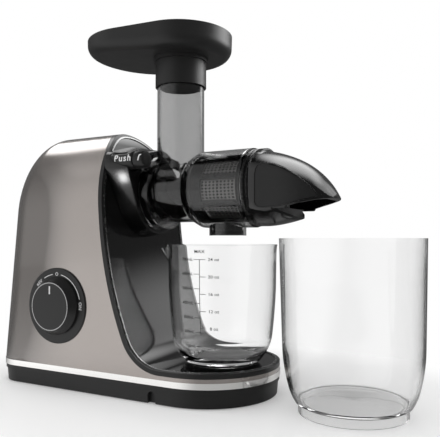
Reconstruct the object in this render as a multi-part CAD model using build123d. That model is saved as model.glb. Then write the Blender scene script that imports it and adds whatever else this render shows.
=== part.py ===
from build123d import *
from math import atan2, cos, degrees, pi, radians, sin
import os

# A horizontal cold press juicer with its jug and pulp container, in millimetres.
# The head lies along +X and points at the pulp container. The dial faces -Y, and +Z is up.
# Everything is drawn about the head: X = 0 and Y = 0 is the middle of the machine's round
# front end, and Z = 0 is the table. The export then moves it to the middle of the footprint.

# ---- driving dimensions: the machine --------------------------------------------------
HALF_WIDTH = 72.6        # half the width of the base, and the radius of its round front end
BACK_X = -232.6          # back of the base
BACK_LEAN = 0.0993       # how far the back wall leans in for each millimetre of height
BACK_CORNER = 33.0       # rounding round the back wall, up one side, over the top and down
TOP_Z = 271.5            # crown of the tower
ARCH_RISE = 90.0         # height of the half ellipse that arches over the tower
WALL = 3.0               # wall of the housing shell
SKIRT_TOP_Z = 18.4       # top of the black base skirt
SHELL_LOW_Z = 24.1       # top of the chrome band, where the shell starts
RIM_Z = 27.8             # level part of the shell's front edge, round the jug platform
RIM_WIDTH = 4.4          # width of the black trim along the shell's front edge
BEAD_WIDTH = 1.6         # width of the bright bead inside the trim
GLAND_Z = 42.0           # height of the cord gland in the back wall
SKIRT_STEP_Z = 14.3      # small step in the black skirt
SKIRT_LOW_Z = 0.7        # the skirt stops just above the table
FEET = ((-203, -44), (-203, 44), (-60, -52), (-60, 52), (46, 0))
FOOT_R = 9.2
# Side view of the shell's front edge, as (X, Z): level round the platform to the first
# point, then a tangent arc to each of the others, up to the crown of the tower.
RIM_POINTS = ((-12, RIM_Z), (-55, 56), (-84.5, 175), (-92, 235), (-111, 271.6))

# ---- driving dimensions: the head ------------------------------------------------------
HEAD_Z = 205.0           # height of the head's axis
SOCKET_FRONT_X = -61.0   # front face of the socket that holds the drum
SOCKET_FLOOR_X = -72.0   # bottom of the socket
SOCKET_BORE_R = 41.0
NECK_R = 33.0            # outside of the drum's neck
DRUM_R = 39.4            # outside of the drum's wide end
DRUM_WALL = 2.5
DRUM_END_X = 54.0        # where the drum's wide end stops and its spigot begins
SPIGOT_END_X = 61.0      # end of the spigot, which the pulp cap turns on
SPIGOT_R = 36.6
SPIGOT_BORE_R = 34.9
TUBE_X = -34.4           # axis of the feed tube
TUBE_R = 25.0
TUBE_TOP_Z = 337.7
OUTLET_X = 22.2          # axis of the juice outlet
OUTLET_R = 18.8
OUTLET_LOW_Z = 157.8
STRAINER_R = 34.5
AUGER_R = 29.8
FLIGHT_STEPS = 16        # sections in one turn of the auger's flights
TWIST_GAP = 0.4          # gap round pieces that twist in each other
BUTTON_Y, BUTTON_Z = -50.5, 233.5   # axis of the push button and of the drum's lug
BUTTON_R = 9.0
BUTTON_TRAVEL = 3.0
CAP_RING_R = 38.2        # outside of the pulp cap's ring, a little below the drum's line
CAP_BODY_X = 63.0        # where the cap's ring runs into its body
CAP_WALL = 2.4
# Sections of the cap's body: (X, half width, crown, crease, low edge of the side, belly).
CAP_SECTIONS = ((CAP_BODY_X, 38.2, 241.3, 223.2, 184, 166.8), (73, 38.4, 239.3, 224.5, 181, 167.2),
                (87, 38.2, 235.5, 222, 181, 169.6), (100, 37.6, 230.2, 216.5, 182.5, 173),
                (112, 35.2, 223.2, 208.5, 184.5, 177), (123, 30, 213.8, 201, 187.5, 182),
                (131, 22.5, 204.2, 195.2, 190, 187), (136.2, 12, 196.2, 192.4, 190.9, 189.8))

# ---- driving dimensions: the tray, the jug and the pulp container ---------------------
TRAY_RIM_Z = 369.75
TRAY_FLOOR_Z = 345.67    # underside of the tray round the tube
TRAY_SLOPE = 5.12        # how far the floor slopes up to the back, in degrees
TRAY_BACK_X, TRAY_BACK_R = -85.4, 59.4    # the tray's outline is two circles and what
TRAY_FRONT_X, TRAY_FRONT_R = -34.1, 54.6  # lies between them
TRAY_ROUND_R = 11.4      # rounding of the tray's lower edge
TRAY_WALL = 2.4
COLLAR_R = 27.1
COLLAR_LOW_Z = 315.5
JUG_X, JUG_Y = 19.2, -6.3
JUG_WALL = 2.3
# The jug's outside from its foot to its rim, as (radius, Z).
JUG_SIDE = ((38.5, 35.5), (45.6, 46), (49.6, 58), (52.1, 82), (53.6, 105), (54.2, 138),
            (54.5, 144), (55.2, 148.8))
BIN_X, BIN_Y = 150.3, -5.0
BIN_WALL = 2.2
# The pulp container's outside from its foot to its rim, as (radius, Z).
BIN_SIDE = ((51.5, 9.5), (54.3, 14.5), (57.5, 23.5), (60.9, 40), (62.6, 60), (65.1, 155))

# ---- driving dimensions: the dial ------------------------------------------------------
DIAL_X, DIAL_Z = -138.65, 85.7
DIAL_PLATE_R = 38.8
KNOB_R = 29.5
KNOB_FACE_R = 24.4
KNOB_HEIGHT = 9.6
DIAL_PLATE_T = 1.4

# ---- driving dimensions: the drive -----------------------------------------------------
MIDDLE_Z = 161.25        # axis of the middle gear
MOTOR_Z = 125.25         # axis of the motor
PINION_TEETH, MIDDLE_TEETH, FIRST_MODULE = 12, 60, 1.0
SECOND_TEETH, OUTPUT_TEETH, SECOND_MODULE = 14, 56, 1.25
SHAFT_R = 8.0

FRONT_Y = -(HALF_WIDTH + DIAL_PLATE_T + KNOB_HEIGHT)       # the knob's face
MIDDLE_X = (BACK_X + BIN_X + BIN_SIDE[-1][0]) / 2          # middle of the footprint
MIDDLE_Y = (FRONT_Y + HALF_WIDTH) / 2


# ---- helpers ---------------------------------------------------------------------------
def axis_x(x=0.0, y=0.0, z=HEAD_Z):
    """A place on a line along X, with the local Z axis pointing along +X."""
    return Plane(origin=(x, y, z), x_dir=(0, 1, 0), z_dir=(1, 0, 0))


def rod(x0, x1, r, y=0.0, z=HEAD_Z):
    """A solid round bar along X from x0 to x1."""
    return extrude(axis_x(x0, y, z) * Circle(r), x1 - x0)


def pipe(x0, x1, r_out, r_in, y=0.0, z=HEAD_Z):
    """A round tube along X from x0 to x1."""
    return extrude(axis_x(x0, y, z) * (Circle(r_out) - Circle(r_in)), x1 - x0)


def upright(x, y, z0, z1, r):
    """A solid round bar along Z from z0 to z1."""
    return extrude(Pos(x, y, z0) * Circle(r), z1 - z0)


def turned(profile):
    """A solid turned about the head's axis from (x, radius) corners."""
    face = Plane.XZ * Pos(0, HEAD_Z) * make_face(Polyline(*profile, close=True))
    return revolve(face, Axis((0, 0, HEAD_Z), (1, 0, 0)), 360)


def spun(x, y, edges):
    """A solid turned about an upright axis from edges drawn as (radius, height)."""
    face = Plane.XZ * make_face(edges)
    return Pos(x, y, 0) * revolve(face, Axis.Z, 360)


def side_prism(edges, y0=-100.0, y1=100.0):
    """A flat outline in side view, as (X, Z) edges, carried across from y0 to y1."""
    face = Plane.XZ * make_face(edges)
    return Pos(0, y1, 0) * extrude(face, y1 - y0)


def footprint(inset):
    """The base in plan, drawn in by an inset: round in front, rounded corners behind."""
    half = HALF_WIDTH - inset
    back = Pos((BACK_X + inset) / 2, 0) * Rectangle(-BACK_X - inset, 2 * half)
    corners = back.vertices().group_by(Axis.X)[0]
    return fillet(corners, BACK_CORNER - inset) + Circle(half)


def envelope(inset):
    """The machine's outer form drawn in by an inset, as if the tower ran to the front."""
    half = HALF_WIDTH - inset
    arch_z = TOP_Z - ARCH_RISE
    arch = Pos(0, arch_z) * Ellipse(half, ARCH_RISE - inset)
    arch += Pos(0, arch_z / 2) * Rectangle(2 * half, arch_z)
    block = Plane(origin=(BACK_X - 20, 0, 0), x_dir=(0, 1, 0), z_dir=(1, 0, 0)) * arch
    block = extrude(block, HALF_WIDTH - BACK_X + 40)
    low_x = BACK_X - BACK_LEAN * SHELL_LOW_Z + inset
    top_x = low_x + BACK_LEAN * 300
    block &= side_prism(Polyline((low_x, 0), (100, 0), (100, 300), (top_x, 300), close=True))
    block &= extrude(Pos(-200, 0) * Rectangle(400, 300) + Circle(half), 300)
    back_face = block.faces().sort_by(Axis.X)[0]
    hoop = [e for e in back_face.edges() if e.center().Z > 1]
    return fillet(hoop, BACK_CORNER - inset)


def rim_edges(offset):
    """The shell's front edge in side view, moved out by an offset: a chain of edges."""
    heading = pi
    moved = []
    for i, (x, z) in enumerate(RIM_POINTS):
        if i:
            last_x, last_z = RIM_POINTS[i - 1]
            heading = 2 * atan2(z - last_z, x - last_x) - heading
        moved.append((x + offset * sin(heading), z - offset * cos(heading), heading))
    edges = [Line((HALF_WIDTH + 10, RIM_Z + offset), moved[0][:2])]
    for (x0, z0, heading), (x1, z1, _) in zip(moved, moved[1:]):
        edges.append(TangentArc((x0, z0), (x1, z1), tangent=(cos(heading), sin(heading))))
    x, z, heading = moved[-1]
    edges.append(Line((x, z), (x + 12 * cos(heading), z + 12 * sin(heading))))
    return edges


def rim_band(low, high):
    """The strip between two offsets of the shell's front edge, carried across the machine."""
    inner, outer = rim_edges(low), rim_edges(high)
    ends = [Line(inner[0] @ 0, outer[0] @ 0), Line(inner[-1] @ 1, outer[-1] @ 1)]
    return side_prism(inner + outer + ends)


def behind_rim(offset, low_z):
    """Everything behind and below the shell's front edge, moved out by an offset."""
    edges = rim_edges(offset)
    start, end = edges[0] @ 0, edges[-1] @ 1
    frame = Polyline(end, (end.X, 320), (-320, 320), (-320, low_z), (start.X, low_z), start)
    return side_prism(edges + [frame])


# ---- the base: housing -----------------------------------------------------------------
def housing_shell():
    """The wrap-around shell: back, sides and arched top, and a strip round the platform."""
    shell = (envelope(0) - envelope(WALL)) & behind_rim(0, SHELL_LOW_Z)
    hole = Plane(origin=(DIAL_X, -HALF_WIDTH - 5, DIAL_Z), z_dir=(0, 1, 0)) * Circle(6.5)
    shell -= extrude(hole, 12)
    return shell - rod(BACK_X - 20, BACK_X + 30, 8.2, 0, GLAND_Z)


def shell_trim():
    """The black strip that edges the shell."""
    return (envelope(0) - envelope(WALL)) & rim_band(0, RIM_WIDTH)


def trim_bead():
    """The thin bright bead between the trim and the front panel."""
    return (envelope(WALL) - envelope(WALL + BEAD_WIDTH)) & rim_band(1.6, RIM_WIDTH + 0.8)


def front_panel():
    """One curved moulding: the platform under the jug and the front of the tower."""
    panel = envelope(WALL + BEAD_WIDTH) & rim_band(1.4, RIM_WIDTH)
    return panel - rod(-130, -60, SOCKET_BORE_R + 2.0)


def hull_outline(r, pod_r, pod_y, pod_z):
    """The outline of the socket: a ring round the head, drawn out to a pod for the button."""
    ring = Circle(r)
    pod = Pos(pod_y, pod_z - HEAD_Z) * Circle(pod_r)
    return make_hull(ring.edges() + pod.edges())


def drum_socket():
    """The round socket that holds the drum, with the pod that carries the push button."""
    back = axis_x(-92) * hull_outline(51.0, 17.0, -47.0, 229.0)
    front = axis_x(SOCKET_FRONT_X) * hull_outline(45.0, 11.0, -46.0, 229.0)
    body = loft([back.face(), front.face()], ruled=True)
    body -= behind_rim(RIM_WIDTH + 0.85, 0)
    body += rod(-90, -78, SOCKET_BORE_R + 1.9)
    body = chamfer(body.edges().filter_by(GeomType.CIRCLE).group_by(Axis.X)[-1], 0.8)
    body -= rod(SOCKET_FLOOR_X, SOCKET_FRONT_X + 1, SOCKET_BORE_R)
    body -= rod(-91, -76, 19.05)
    body -= rod(-77, SOCKET_FLOOR_X + 1, 14.0)
    for turn in (90, 210, 330):
        ledge = Pos(0, 0, -3.2) * extrude(Circle(SOCKET_BORE_R + 0.5) - Circle(38.2), 3.0)
        wedge = extrude(make_face(Polyline((0, 0), (60, -16), (60, 16), close=True)), 8)
        wedge = Rot(0, 0, turn) * Pos(0, 0, -5) * wedge
        body += axis_x(SOCKET_FRONT_X) * (ledge & wedge)
    inward = Vector(0, -BUTTON_Y, HEAD_Z - BUTTON_Z).normalized()
    pocket = rod(-92, -53, BUTTON_R + TWIST_GAP, BUTTON_Y, BUTTON_Z)
    for step in range(1, 4):
        shift = inward * (step * (BUTTON_TRAVEL + 1.0) / 3)
        pocket += Pos(shift.X, shift.Y, shift.Z) * rod(-92, -53, BUTTON_R + TWIST_GAP,
                                                       BUTTON_Y, BUTTON_Z)
    return body - pocket


def chrome_band():
    """The bright band round the foot of the shell."""
    ring = footprint(-0.25) - footprint(2.4)
    return Pos(0, 0, SKIRT_TOP_Z) * extrude(ring, SHELL_LOW_Z - SKIRT_TOP_Z)


def base_skirt():
    """The black skirt: a stepped, slightly drawn-in wall with a round-topped recess each side."""
    top = Pos(0, 0, SKIRT_STEP_Z) * extrude(footprint(0.5), SKIRT_TOP_Z - SKIRT_STEP_Z)
    foot = (Pos(0, 0, SKIRT_LOW_Z) * footprint(2.8)).face()
    step = (Pos(0, 0, SKIRT_STEP_Z) * footprint(1.6)).face()
    skirt = top + loft([foot, step], ruled=True) - Pos(0, 0, -1) * extrude(footprint(8.0), 30)
    recess = Circle(4.3) + Pos(0, -5) * Rectangle(8.6, 10)
    for side in (-1, 1):
        outward = Plane(origin=(-22, side * 66.3, 7.7), x_dir=(-side, 0, 0), z_dir=(0, side, 0))
        skirt -= extrude(outward * recess, 15)
    return skirt


def bottom_cover():
    """The flat cover under the base, with vent slots and sockets for the feet."""
    cover = Pos(0, 0, 3.0) * extrude(footprint(8.3), 2.6)
    for i in range(7):
        cover -= Pos(-150 + 9 * i, 0, 4) * Box(4, 44, 12)
    for x, y in FEET:
        cover -= upright(x, y, 2, 4.6, FOOT_R + 0.2)
    return cover


def rubber_feet():
    """Five soft feet with hollow soles that grip the table."""
    feet = []
    for x, y in FEET:
        feet.append(upright(x, y, 0, 4.6, FOOT_R) - upright(x, y, -1, 0.9, 5.5))
    return Compound(children=feet)


def cover_screws():
    """Hexagonal screw heads that hold the bottom cover."""
    screws = []
    for x, y in ((-215, 0), (-130, -56), (-130, 56), (0, -56), (0, 56), (-95, 0)):
        screws.append(Pos(x, y, 1.6) * extrude(RegularPolygon(3.2, 6), 1.4))
    return Compound(children=screws)


# ---- the base: dial --------------------------------------------------------------------
def facing(r, y, height, x=DIAL_X, z=DIAL_Z):
    """A round bar standing out of the near side, from y towards -Y."""
    return extrude(Plane(origin=(x, y, z), x_dir=(1, 0, 0), z_dir=(0, -1, 0)) * Circle(r), height)


def dial_plate():
    """The round plate behind the knob."""
    plate = facing(DIAL_PLATE_R, -HALF_WIDTH, DIAL_PLATE_T)
    plate = chamfer(plate.edges().group_by(Axis.Y)[0], 0.6)
    return plate - facing(6.5, -HALF_WIDTH + 1, 5)


def knob():
    """The knob: a wide skirt that narrows to a flat face, with a groove for its ring."""
    base_y = -HALF_WIDTH - DIAL_PLATE_T - 0.35
    height = KNOB_HEIGHT - 0.35
    outline = Polyline((0, 0), (KNOB_R, 0), (KNOB_R, 2.2), (KNOB_FACE_R + 1.2, height - 0.8),
                       (KNOB_FACE_R + 0.4, height), (0, height), close=True)
    body = revolve(Plane.XZ * make_face(outline), Axis.Z, 360)
    groove = extrude(Pos(0, 0, height - 0.7) * (Circle(KNOB_FACE_R) - Circle(KNOB_FACE_R - 0.9)), 2)
    bore = extrude(Circle(3.0), height - 2)
    body -= groove + bore
    return Plane(origin=(DIAL_X, base_y, DIAL_Z), x_dir=(1, 0, 0), z_dir=(0, -1, 0)) * body


def knob_ring():
    """The thin silver ring let into the knob's face."""
    face_y = -HALF_WIDTH - DIAL_PLATE_T - KNOB_HEIGHT
    ring = facing(KNOB_FACE_R, face_y + 0.7, 0.7) - facing(KNOB_FACE_R - 0.9, face_y + 1, 2)
    return ring


def knob_spindle():
    """The switch spindle that the knob is pressed on."""
    return facing(2.95, -56, HALF_WIDTH - 56 + DIAL_PLATE_T + KNOB_HEIGHT - 2.2)


def rotary_switch():
    """The three-way switch behind the dial, with its terminals."""
    body = facing(15, -50, 12) + facing(5.5, -61.9, 7.4)
    body -= facing(3.1, -48, 40)
    body += Plane(origin=(DIAL_X, -50, DIAL_Z), z_dir=(0, 1, 0)) * extrude(Rectangle(24, 24), 4)
    for dx in (-8, 0, 8):
        body += Pos(DIAL_X + dx, -44, DIAL_Z) * Box(1, 8, 5)
    return body


# ---- the push button -------------------------------------------------------------------
def push_button():
    """A ribbed, barrel-shaped key beside the head, pressed in towards the head's axis."""
    key = rod(-85.2, -54.6, BUTTON_R, BUTTON_Y, BUTTON_Z)
    key = fillet(key.edges().group_by(Axis.X)[0], 3.5)
    return chamfer(key.edges().group_by(Axis.X)[-1], 0.6)


# ---- the drive -------------------------------------------------------------------------
def gear(teeth, module, width, bore):
    """A spur gear about Z with straight flanks, drawn a little slim for backlash."""
    pitch_r = teeth * module / 2
    root_r, tip_r = pitch_r - 1.25 * module, pitch_r + 0.95 * module
    pitch_angle = 2 * pi / teeth
    corners = []
    for i in range(teeth):
        middle = i * pitch_angle
        shape = ((root_r, 0.33), (tip_r, 0.11))
        for r, half in shape:
            corners.append((r, middle - half * pitch_angle))
        for r, half in reversed(shape):
            corners.append((r, middle + half * pitch_angle))
    points = [(r * cos(a), r * sin(a)) for r, a in corners]
    return extrude(make_face(Polyline(*points, close=True)) - Circle(bore), width)


def first_pinion():
    """The small gear on the motor shaft, turned half a tooth to mesh."""
    wheel = gear(PINION_TEETH, FIRST_MODULE, 9, 4.0)
    return axis_x(-118, 0, MOTOR_Z) * Rot(0, 0, 90 + 180 / PINION_TEETH) * wheel


def middle_gear():
    """The middle gear and its pinion in one piece, on a steel pin."""
    wheel = gear(MIDDLE_TEETH, FIRST_MODULE, 7, 4.0)
    small = gear(SECOND_TEETH, SECOND_MODULE, 11.5, 4.0)
    both = Rot(0, 0, -90) * wheel + Pos(0, 0, 7) * Rot(0, 0, 90 + 180 / SECOND_TEETH) * small
    return axis_x(-117, 0, MIDDLE_Z) * both


def output_gear():
    """The large gear on the output shaft, with a web lightened by round holes."""
    wheel = gear(OUTPUT_TEETH, SECOND_MODULE, 9.5, SHAFT_R)
    for i in range(6):
        wheel -= Rot(0, 0, 60 * i) * Pos(22, 0) * extrude(Circle(6), 20)
    return axis_x(-108.5, 0, HEAD_Z) * Rot(0, 0, -90) * wheel


def middle_pin():
    """The fixed steel pin that the middle gear turns on."""
    return rod(-123, -93.1, 3.95, 0, MIDDLE_Z)


def case_outline(margin):
    """The gearbox in outline: a hull round its three gears, drawn out by a margin."""
    wheels = Circle(38.5 + margin).edges()
    wheels += (Pos(0, MIDDLE_Z - HEAD_Z) * Circle(33 + margin)).edges()
    wheels += (Pos(0, MOTOR_Z - HEAD_Z) * Circle(12 + margin)).edges()
    return make_hull(wheels)


def gear_case():
    """The gearbox housing: a cup round the gears, open at the front."""
    case = extrude(axis_x(-123) * case_outline(2.6), 29)
    case -= extrude(axis_x(-120.4) * case_outline(0), 29)
    case -= rod(-124, -120, 8.5)
    case -= rod(-124, -120, 4.4, 0, MOTOR_Z)
    return case - rod(-124, -119, 4.0, 0, MIDDLE_Z)


def gear_cover():
    """The front plate of the gearbox, bolted to the back of the drum socket."""
    plate = extrude(axis_x(-94) * case_outline(2.6), 3.0)
    plate -= rod(-95, -90, 12)
    return plate - rod(-95, -90, 4.0, 0, MIDDLE_Z)


def case_screws():
    """Four screws through the gearbox cover into the drum socket."""
    screws = []
    for turn in (45, 135, 225, 315):
        y, z = 31 * cos(radians(turn)), HEAD_Z + 31 * sin(radians(turn))
        screws.append(axis_x(-97, y, z) * extrude(RegularPolygon(3.2, 6), 3))
    return Compound(children=screws)


def output_shaft():
    """The steel output shaft, with a hexagonal nose that drives the auger."""
    shaft = rod(-123, -69.6, SHAFT_R)
    hexagon = axis_x(-69.6) * extrude(RegularPolygon(7.6, 6), 29)
    return chamfer((shaft + hexagon).faces().sort_by(Axis.X)[-1].edges(), 1.2)


def front_bearing():
    """The ball bearing in the drum socket, drawn as its two rings and their filling."""
    ring = pipe(-85.2, -76.2, 19.0, SHAFT_R + 0.05)
    return ring - pipe(-78, -76, 15.5, 11.5) - pipe(-86, -83.4, 15.5, 11.5)


def shaft_seal():
    """The rubber lip seal in the socket's floor."""
    return pipe(-75.8, -72.2, 13.95, SHAFT_R + 0.25)


def rear_bush():
    """The bronze bush at the back of the output shaft."""
    return pipe(-123, -120.5, 8.45, SHAFT_R + 0.05)


def motor_can():
    """The motor's steel can, closed at both ends but for the shaft."""
    can = rod(-207, -123.1, 30, 0, MOTOR_Z) - rod(-204.5, -125.6, 27, 0, MOTOR_Z)
    return can - rod(-210, -120, 4.35, 0, MOTOR_Z)


def stator_core():
    """The ring of laminations inside the can."""
    return pipe(-186, -142, 26.9, 18.0, 0, MOTOR_Z)


def rotor_core():
    """The slotted rotor on the motor shaft."""
    core = axis_x(-184, 0, MOTOR_Z) * extrude(Circle(17.2) - Circle(4.0), 40)
    for i in range(12):
        slot = Rot(0, 0, 30 * i) * Pos(15.5, 0) * Rectangle(6, 1.8)
        core -= axis_x(-185, 0, MOTOR_Z) * extrude(slot, 42)
    return core


def motor_shaft():
    """The motor shaft, from its tail to the first pinion."""
    return rod(-209, -108, 3.95, 0, MOTOR_Z)


def cooling_fan():
    """The small fan at the tail of the motor shaft."""
    hub = pipe(-202, -194, 8, 4.0, 0, MOTOR_Z)
    for i in range(8):
        blade = Rot(0, 0, 45 * i) * Pos(16, 0) * Rectangle(18, 1.6)
        hub += axis_x(-201, 0, MOTOR_Z) * extrude(blade, 6)
    return hub


def motor_cradle():
    """The bracket that carries the motor on the bottom cover."""
    cradle = Pos(-165, 0, (5.7 + 100) / 2) * Box(16, 50, 100 - 5.7)
    cradle -= rod(-200, -130, 30.05, 0, MOTOR_Z)
    cradle -= Pos(-165, 0, 46) * Box(20, 34, 50)
    return cradle


def control_board():
    """The control board: a plate with a relay, a capacitor and a terminal block."""
    board = Pos(-205, 0, 60) * Box(1.6, 70, 56)
    board += Pos(-197, -18, 50) * Box(14.4, 16, 18)
    board += Pos(-197, 16, 48) * Box(14.4, 20, 12)
    return board + rod(-204.3, -188, 6.5, 6, 74)


def cord_gland():
    """The rubber gland in the back wall where a lead would come out."""
    wall_x = BACK_X - BACK_LEAN * (SHELL_LOW_Z - GLAND_Z)
    gland = pipe(wall_x - 1.8, wall_x + 7, 8.1, 4.0, 0, GLAND_Z)
    lip = pipe(wall_x - 1.8, wall_x + 2, 11.0, 4.0, 0, GLAND_Z) - envelope(0)
    return gland + lip


# ---- the head --------------------------------------------------------------------------
def juice_drum():
    """The clear drum: neck, wide end, feed tube, juice outlet, locking tabs and lug."""
    outside = turned(((-70, 0), (-70, 37.3), (-60.4, 37.3), (-60.4, 40), (-50, 40),
                      (-49, NECK_R), (-14.5, NECK_R), (-9, 36.5), (-4, 39), (0, DRUM_R),
                      (DRUM_END_X, DRUM_R), (DRUM_END_X, SPIGOT_R), (SPIGOT_END_X, SPIGOT_R),
                      (SPIGOT_END_X, 0)))
    outside += upright(TUBE_X, 0, HEAD_Z, TUBE_TOP_Z, TUBE_R)
    outside += upright(OUTLET_X, 0, OUTLET_LOW_Z, HEAD_Z - 30, OUTLET_R)
    neck_r, wide_r, seat_x = NECK_R - DRUM_WALL, DRUM_R - DRUM_WALL, SPIGOT_END_X - 1.3
    inside = turned(((-71, 0), (-71, neck_r), (-13.5, neck_r), (-8, 34), (-3.4, 36.5),
                     (0, wide_r), (DRUM_END_X - 4, wide_r), (DRUM_END_X - 4, SPIGOT_BORE_R),
                     (seat_x, SPIGOT_BORE_R), (seat_x, 35.6), (seat_x + 3, 35.6),
                     (seat_x + 3, 0)))
    inside += upright(TUBE_X, 0, HEAD_Z, TUBE_TOP_Z + 1, TUBE_R - DRUM_WALL + 0.1)
    inside += upright(OUTLET_X, 0, OUTLET_LOW_Z - 1, HEAD_Z - 30, OUTLET_R - 2.4)
    drum = outside - inside
    for turn in (90, 210, 330):
        tab = extrude(Circle(40.6) - Circle(36.5), 3.4)
        wedge = extrude(make_face(Polyline((0, 0), (60, -12), (60, 12), close=True)), 8)
        drum += axis_x(-69) * (tab & (Rot(0, 0, turn) * wedge))
    lug = rod(-53.9, -42.5, BUTTON_R - 0.6, BUTTON_Y, BUTTON_Z)
    lug = chamfer(lug.edges().group_by(Axis.X)[-1], 1.2)
    arm = extrude(axis_x(-53.9) * Rot(0, 0, degrees(atan2(BUTTON_Z - HEAD_Z, BUTTON_Y)))
                  * Pos(46, 0) * Rectangle(18, 9), 3.5)
    return drum + lug + arm


def strainer_frame():
    """The black strainer cage: a seat flange, a bell-shaped back and eight windows."""
    flange_x = SPIGOT_END_X - 1.2
    cage = turned(((-6, 30.6), (-6, 33.2), (-3, STRAINER_R), (flange_x, STRAINER_R),
                   (flange_x, 35.5), (SPIGOT_END_X, 35.5), (SPIGOT_END_X, 30.6), (50, 30.6),
                   (50, 31.5), (4, 31.5), (4, 30.6)))
    for i in range(8):
        middle = radians(-6 - 45 * i)
        half = radians(18)
        corners = [(0, 0)]
        for angle in (middle - half, middle + half):
            corners.append((60 * -cos(angle), 60 * sin(angle)))
        wedge = extrude(make_face(Polyline(*corners, close=True)), 39)
        ring = extrude(Circle(36) - Circle(30), 39)
        cage -= axis_x(9) * (wedge & ring)
    return cage


def strainer_mesh():
    """The stainless mesh sleeve inside the cage."""
    return pipe(4.2, 49.8, 31.45, 31.0)


def screw_flight(x0, x1, pitch, root_r, root_width, tip_width):
    """The screw's blade, ruled from one radial section to the next, wider at its root."""
    steps = round((x1 - x0) / pitch * FLIGHT_STEPS)
    outline = Polyline((root_r, -root_width / 2), (AUGER_R, -tip_width / 2),
                       (AUGER_R, tip_width / 2), (root_r, root_width / 2), close=True)
    section = Plane.XZ * make_face(outline)
    faces = []
    for i in range(steps + 1):
        advance = pitch * i / FLIGHT_STEPS
        faces.append((Pos(0, 0, advance) * Rot(0, 0, 360 * i / FLIGHT_STEPS) * section).face())
    return axis_x(x0) * loft(faces, ruled=True)


def auger():
    """The screw: a tapered core with a deep flight in the neck and a fine one in the strainer."""
    screw = turned(((-69, 0), (-69, 29), (-66, 29), (-63, 17), (-58, 13.5), (-12, 15.5),
                    (2, 23), (48, 26.4), (57, 24), (60, 14), (61, 0)))
    screw += screw_flight(-61, -7, 31.0, 10.0, 7.8, 3.1)
    screw += screw_flight(0, 53, 15.5, 20.0, 5.1, 2.0)
    hexagon = axis_x(-70) * extrude(RegularPolygon(7.75, 6), 31)
    return screw - hexagon


def outlet_seal():
    """The ribbed rubber sleeve in the juice outlet."""
    seal = upright(OUTLET_X, 0, 158.6, 170, OUTLET_R - 2.7)
    for z in (162.5, 166.0):
        ring = extrude(Pos(OUTLET_X, 0, z) * (Circle(20) - Circle(OUTLET_R - 3.8)), 1.4)
        seal -= ring
    return seal - upright(OUTLET_X, 0, 150, 180, 9.5)


def drum_gasket():
    """The soft ring on the end faces of drum and strainer, which seals against the pulp cap."""
    return pipe(SPIGOT_END_X, SPIGOT_END_X + 1, SPIGOT_R - 0.1, 31.5)


# ---- the pulp cap ----------------------------------------------------------------------
def cap_form(sections, inset=0.0):
    """The cap's body lofted along X, with a round belly, upright sides and a crowned top."""
    faces = []
    for x, half, crown, crease, side, belly in sections:
        w, top, low = half - inset, crease - inset, side + 0.6 * inset
        outline = [ThreePointArc((-w, low), (0, belly + inset), (w, low)), Line((w, low), (w, top)),
                   ThreePointArc((w, top), (0, crown - inset), (-w, top)), Line((-w, top), (-w, low))]
        plane = axis_x(max(x, CAP_BODY_X + inset), 0, 0)
        faces.append((plane * make_face(outline)).face())
    return loft(faces)


def pulp_cap():
    """The end cap: a ring that locks on the drum, a trough, and a hood that ends in a beak."""
    start, r, groove_r, bore_r = DRUM_END_X + 0.4, CAP_RING_R, CAP_RING_R - 0.5, SPIGOT_R + 0.4
    shoulder = SPIGOT_END_X + 1.3
    edge = [(start, bore_r), (start, r)]
    for x in (start + 3.2, start + 7.2):
        edge += [(x, r), (x, groove_r), (x + 0.8, groove_r), (x + 0.8, r)]
    edge += [(CAP_BODY_X + 5, r), (CAP_BODY_X + 5, SPIGOT_BORE_R), (shoulder, SPIGOT_BORE_R),
             (shoulder, bore_r)]
    hollow = cap_form(CAP_SECTIONS[:-1], CAP_WALL) + rod(shoulder, 68, SPIGOT_BORE_R)
    mouth = Polyline((101.5, 140), (101.5, 173), (113, 184.8), (137, 192), (150, 196), (150, 140),
                     close=True)
    return turned(edge) + cap_form(CAP_SECTIONS) - hollow - side_prism(mouth)


# ---- what is loose: tray, jug and pulp container ----------------------------------------
def tray_form(inset, floor_rise, round_r):
    """The tray's oval block, drawn in by an inset, with its floor sloping up to the back."""
    outline = make_hull((Pos(TRAY_BACK_X, 0) * Circle(TRAY_BACK_R - inset)).edges()
                        + (Pos(TRAY_FRONT_X, 0) * Circle(TRAY_FRONT_R - inset)).edges())
    block = extrude(Pos(0, 0, TRAY_RIM_Z) * outline, -45, taper=1.65)
    slope, bend, turn_x = radians(TRAY_SLOPE), 120.0, -30.5
    floor_z = TRAY_FLOOR_Z + floor_rise
    end = Vector(turn_x - bend * sin(slope), floor_z + bend * (1 - cos(slope)))
    tail = end + Vector(-cos(slope), sin(slope)) * 120
    floor = [Line((60, floor_z), (turn_x, floor_z)),
             TangentArc((turn_x, floor_z), end, tangent=(-1, 0)), Line(end, tail)]
    frame = Polyline(tail, (tail.X, 420), (60, 420), (60, floor_z))
    block &= side_prism(floor + [frame])
    low = [e for e in block.edges()
           if e.bounding_box().max.Z < TRAY_RIM_Z - 1 and e.bounding_box().size.X > 0.01]
    return fillet(low, round_r)


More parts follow.
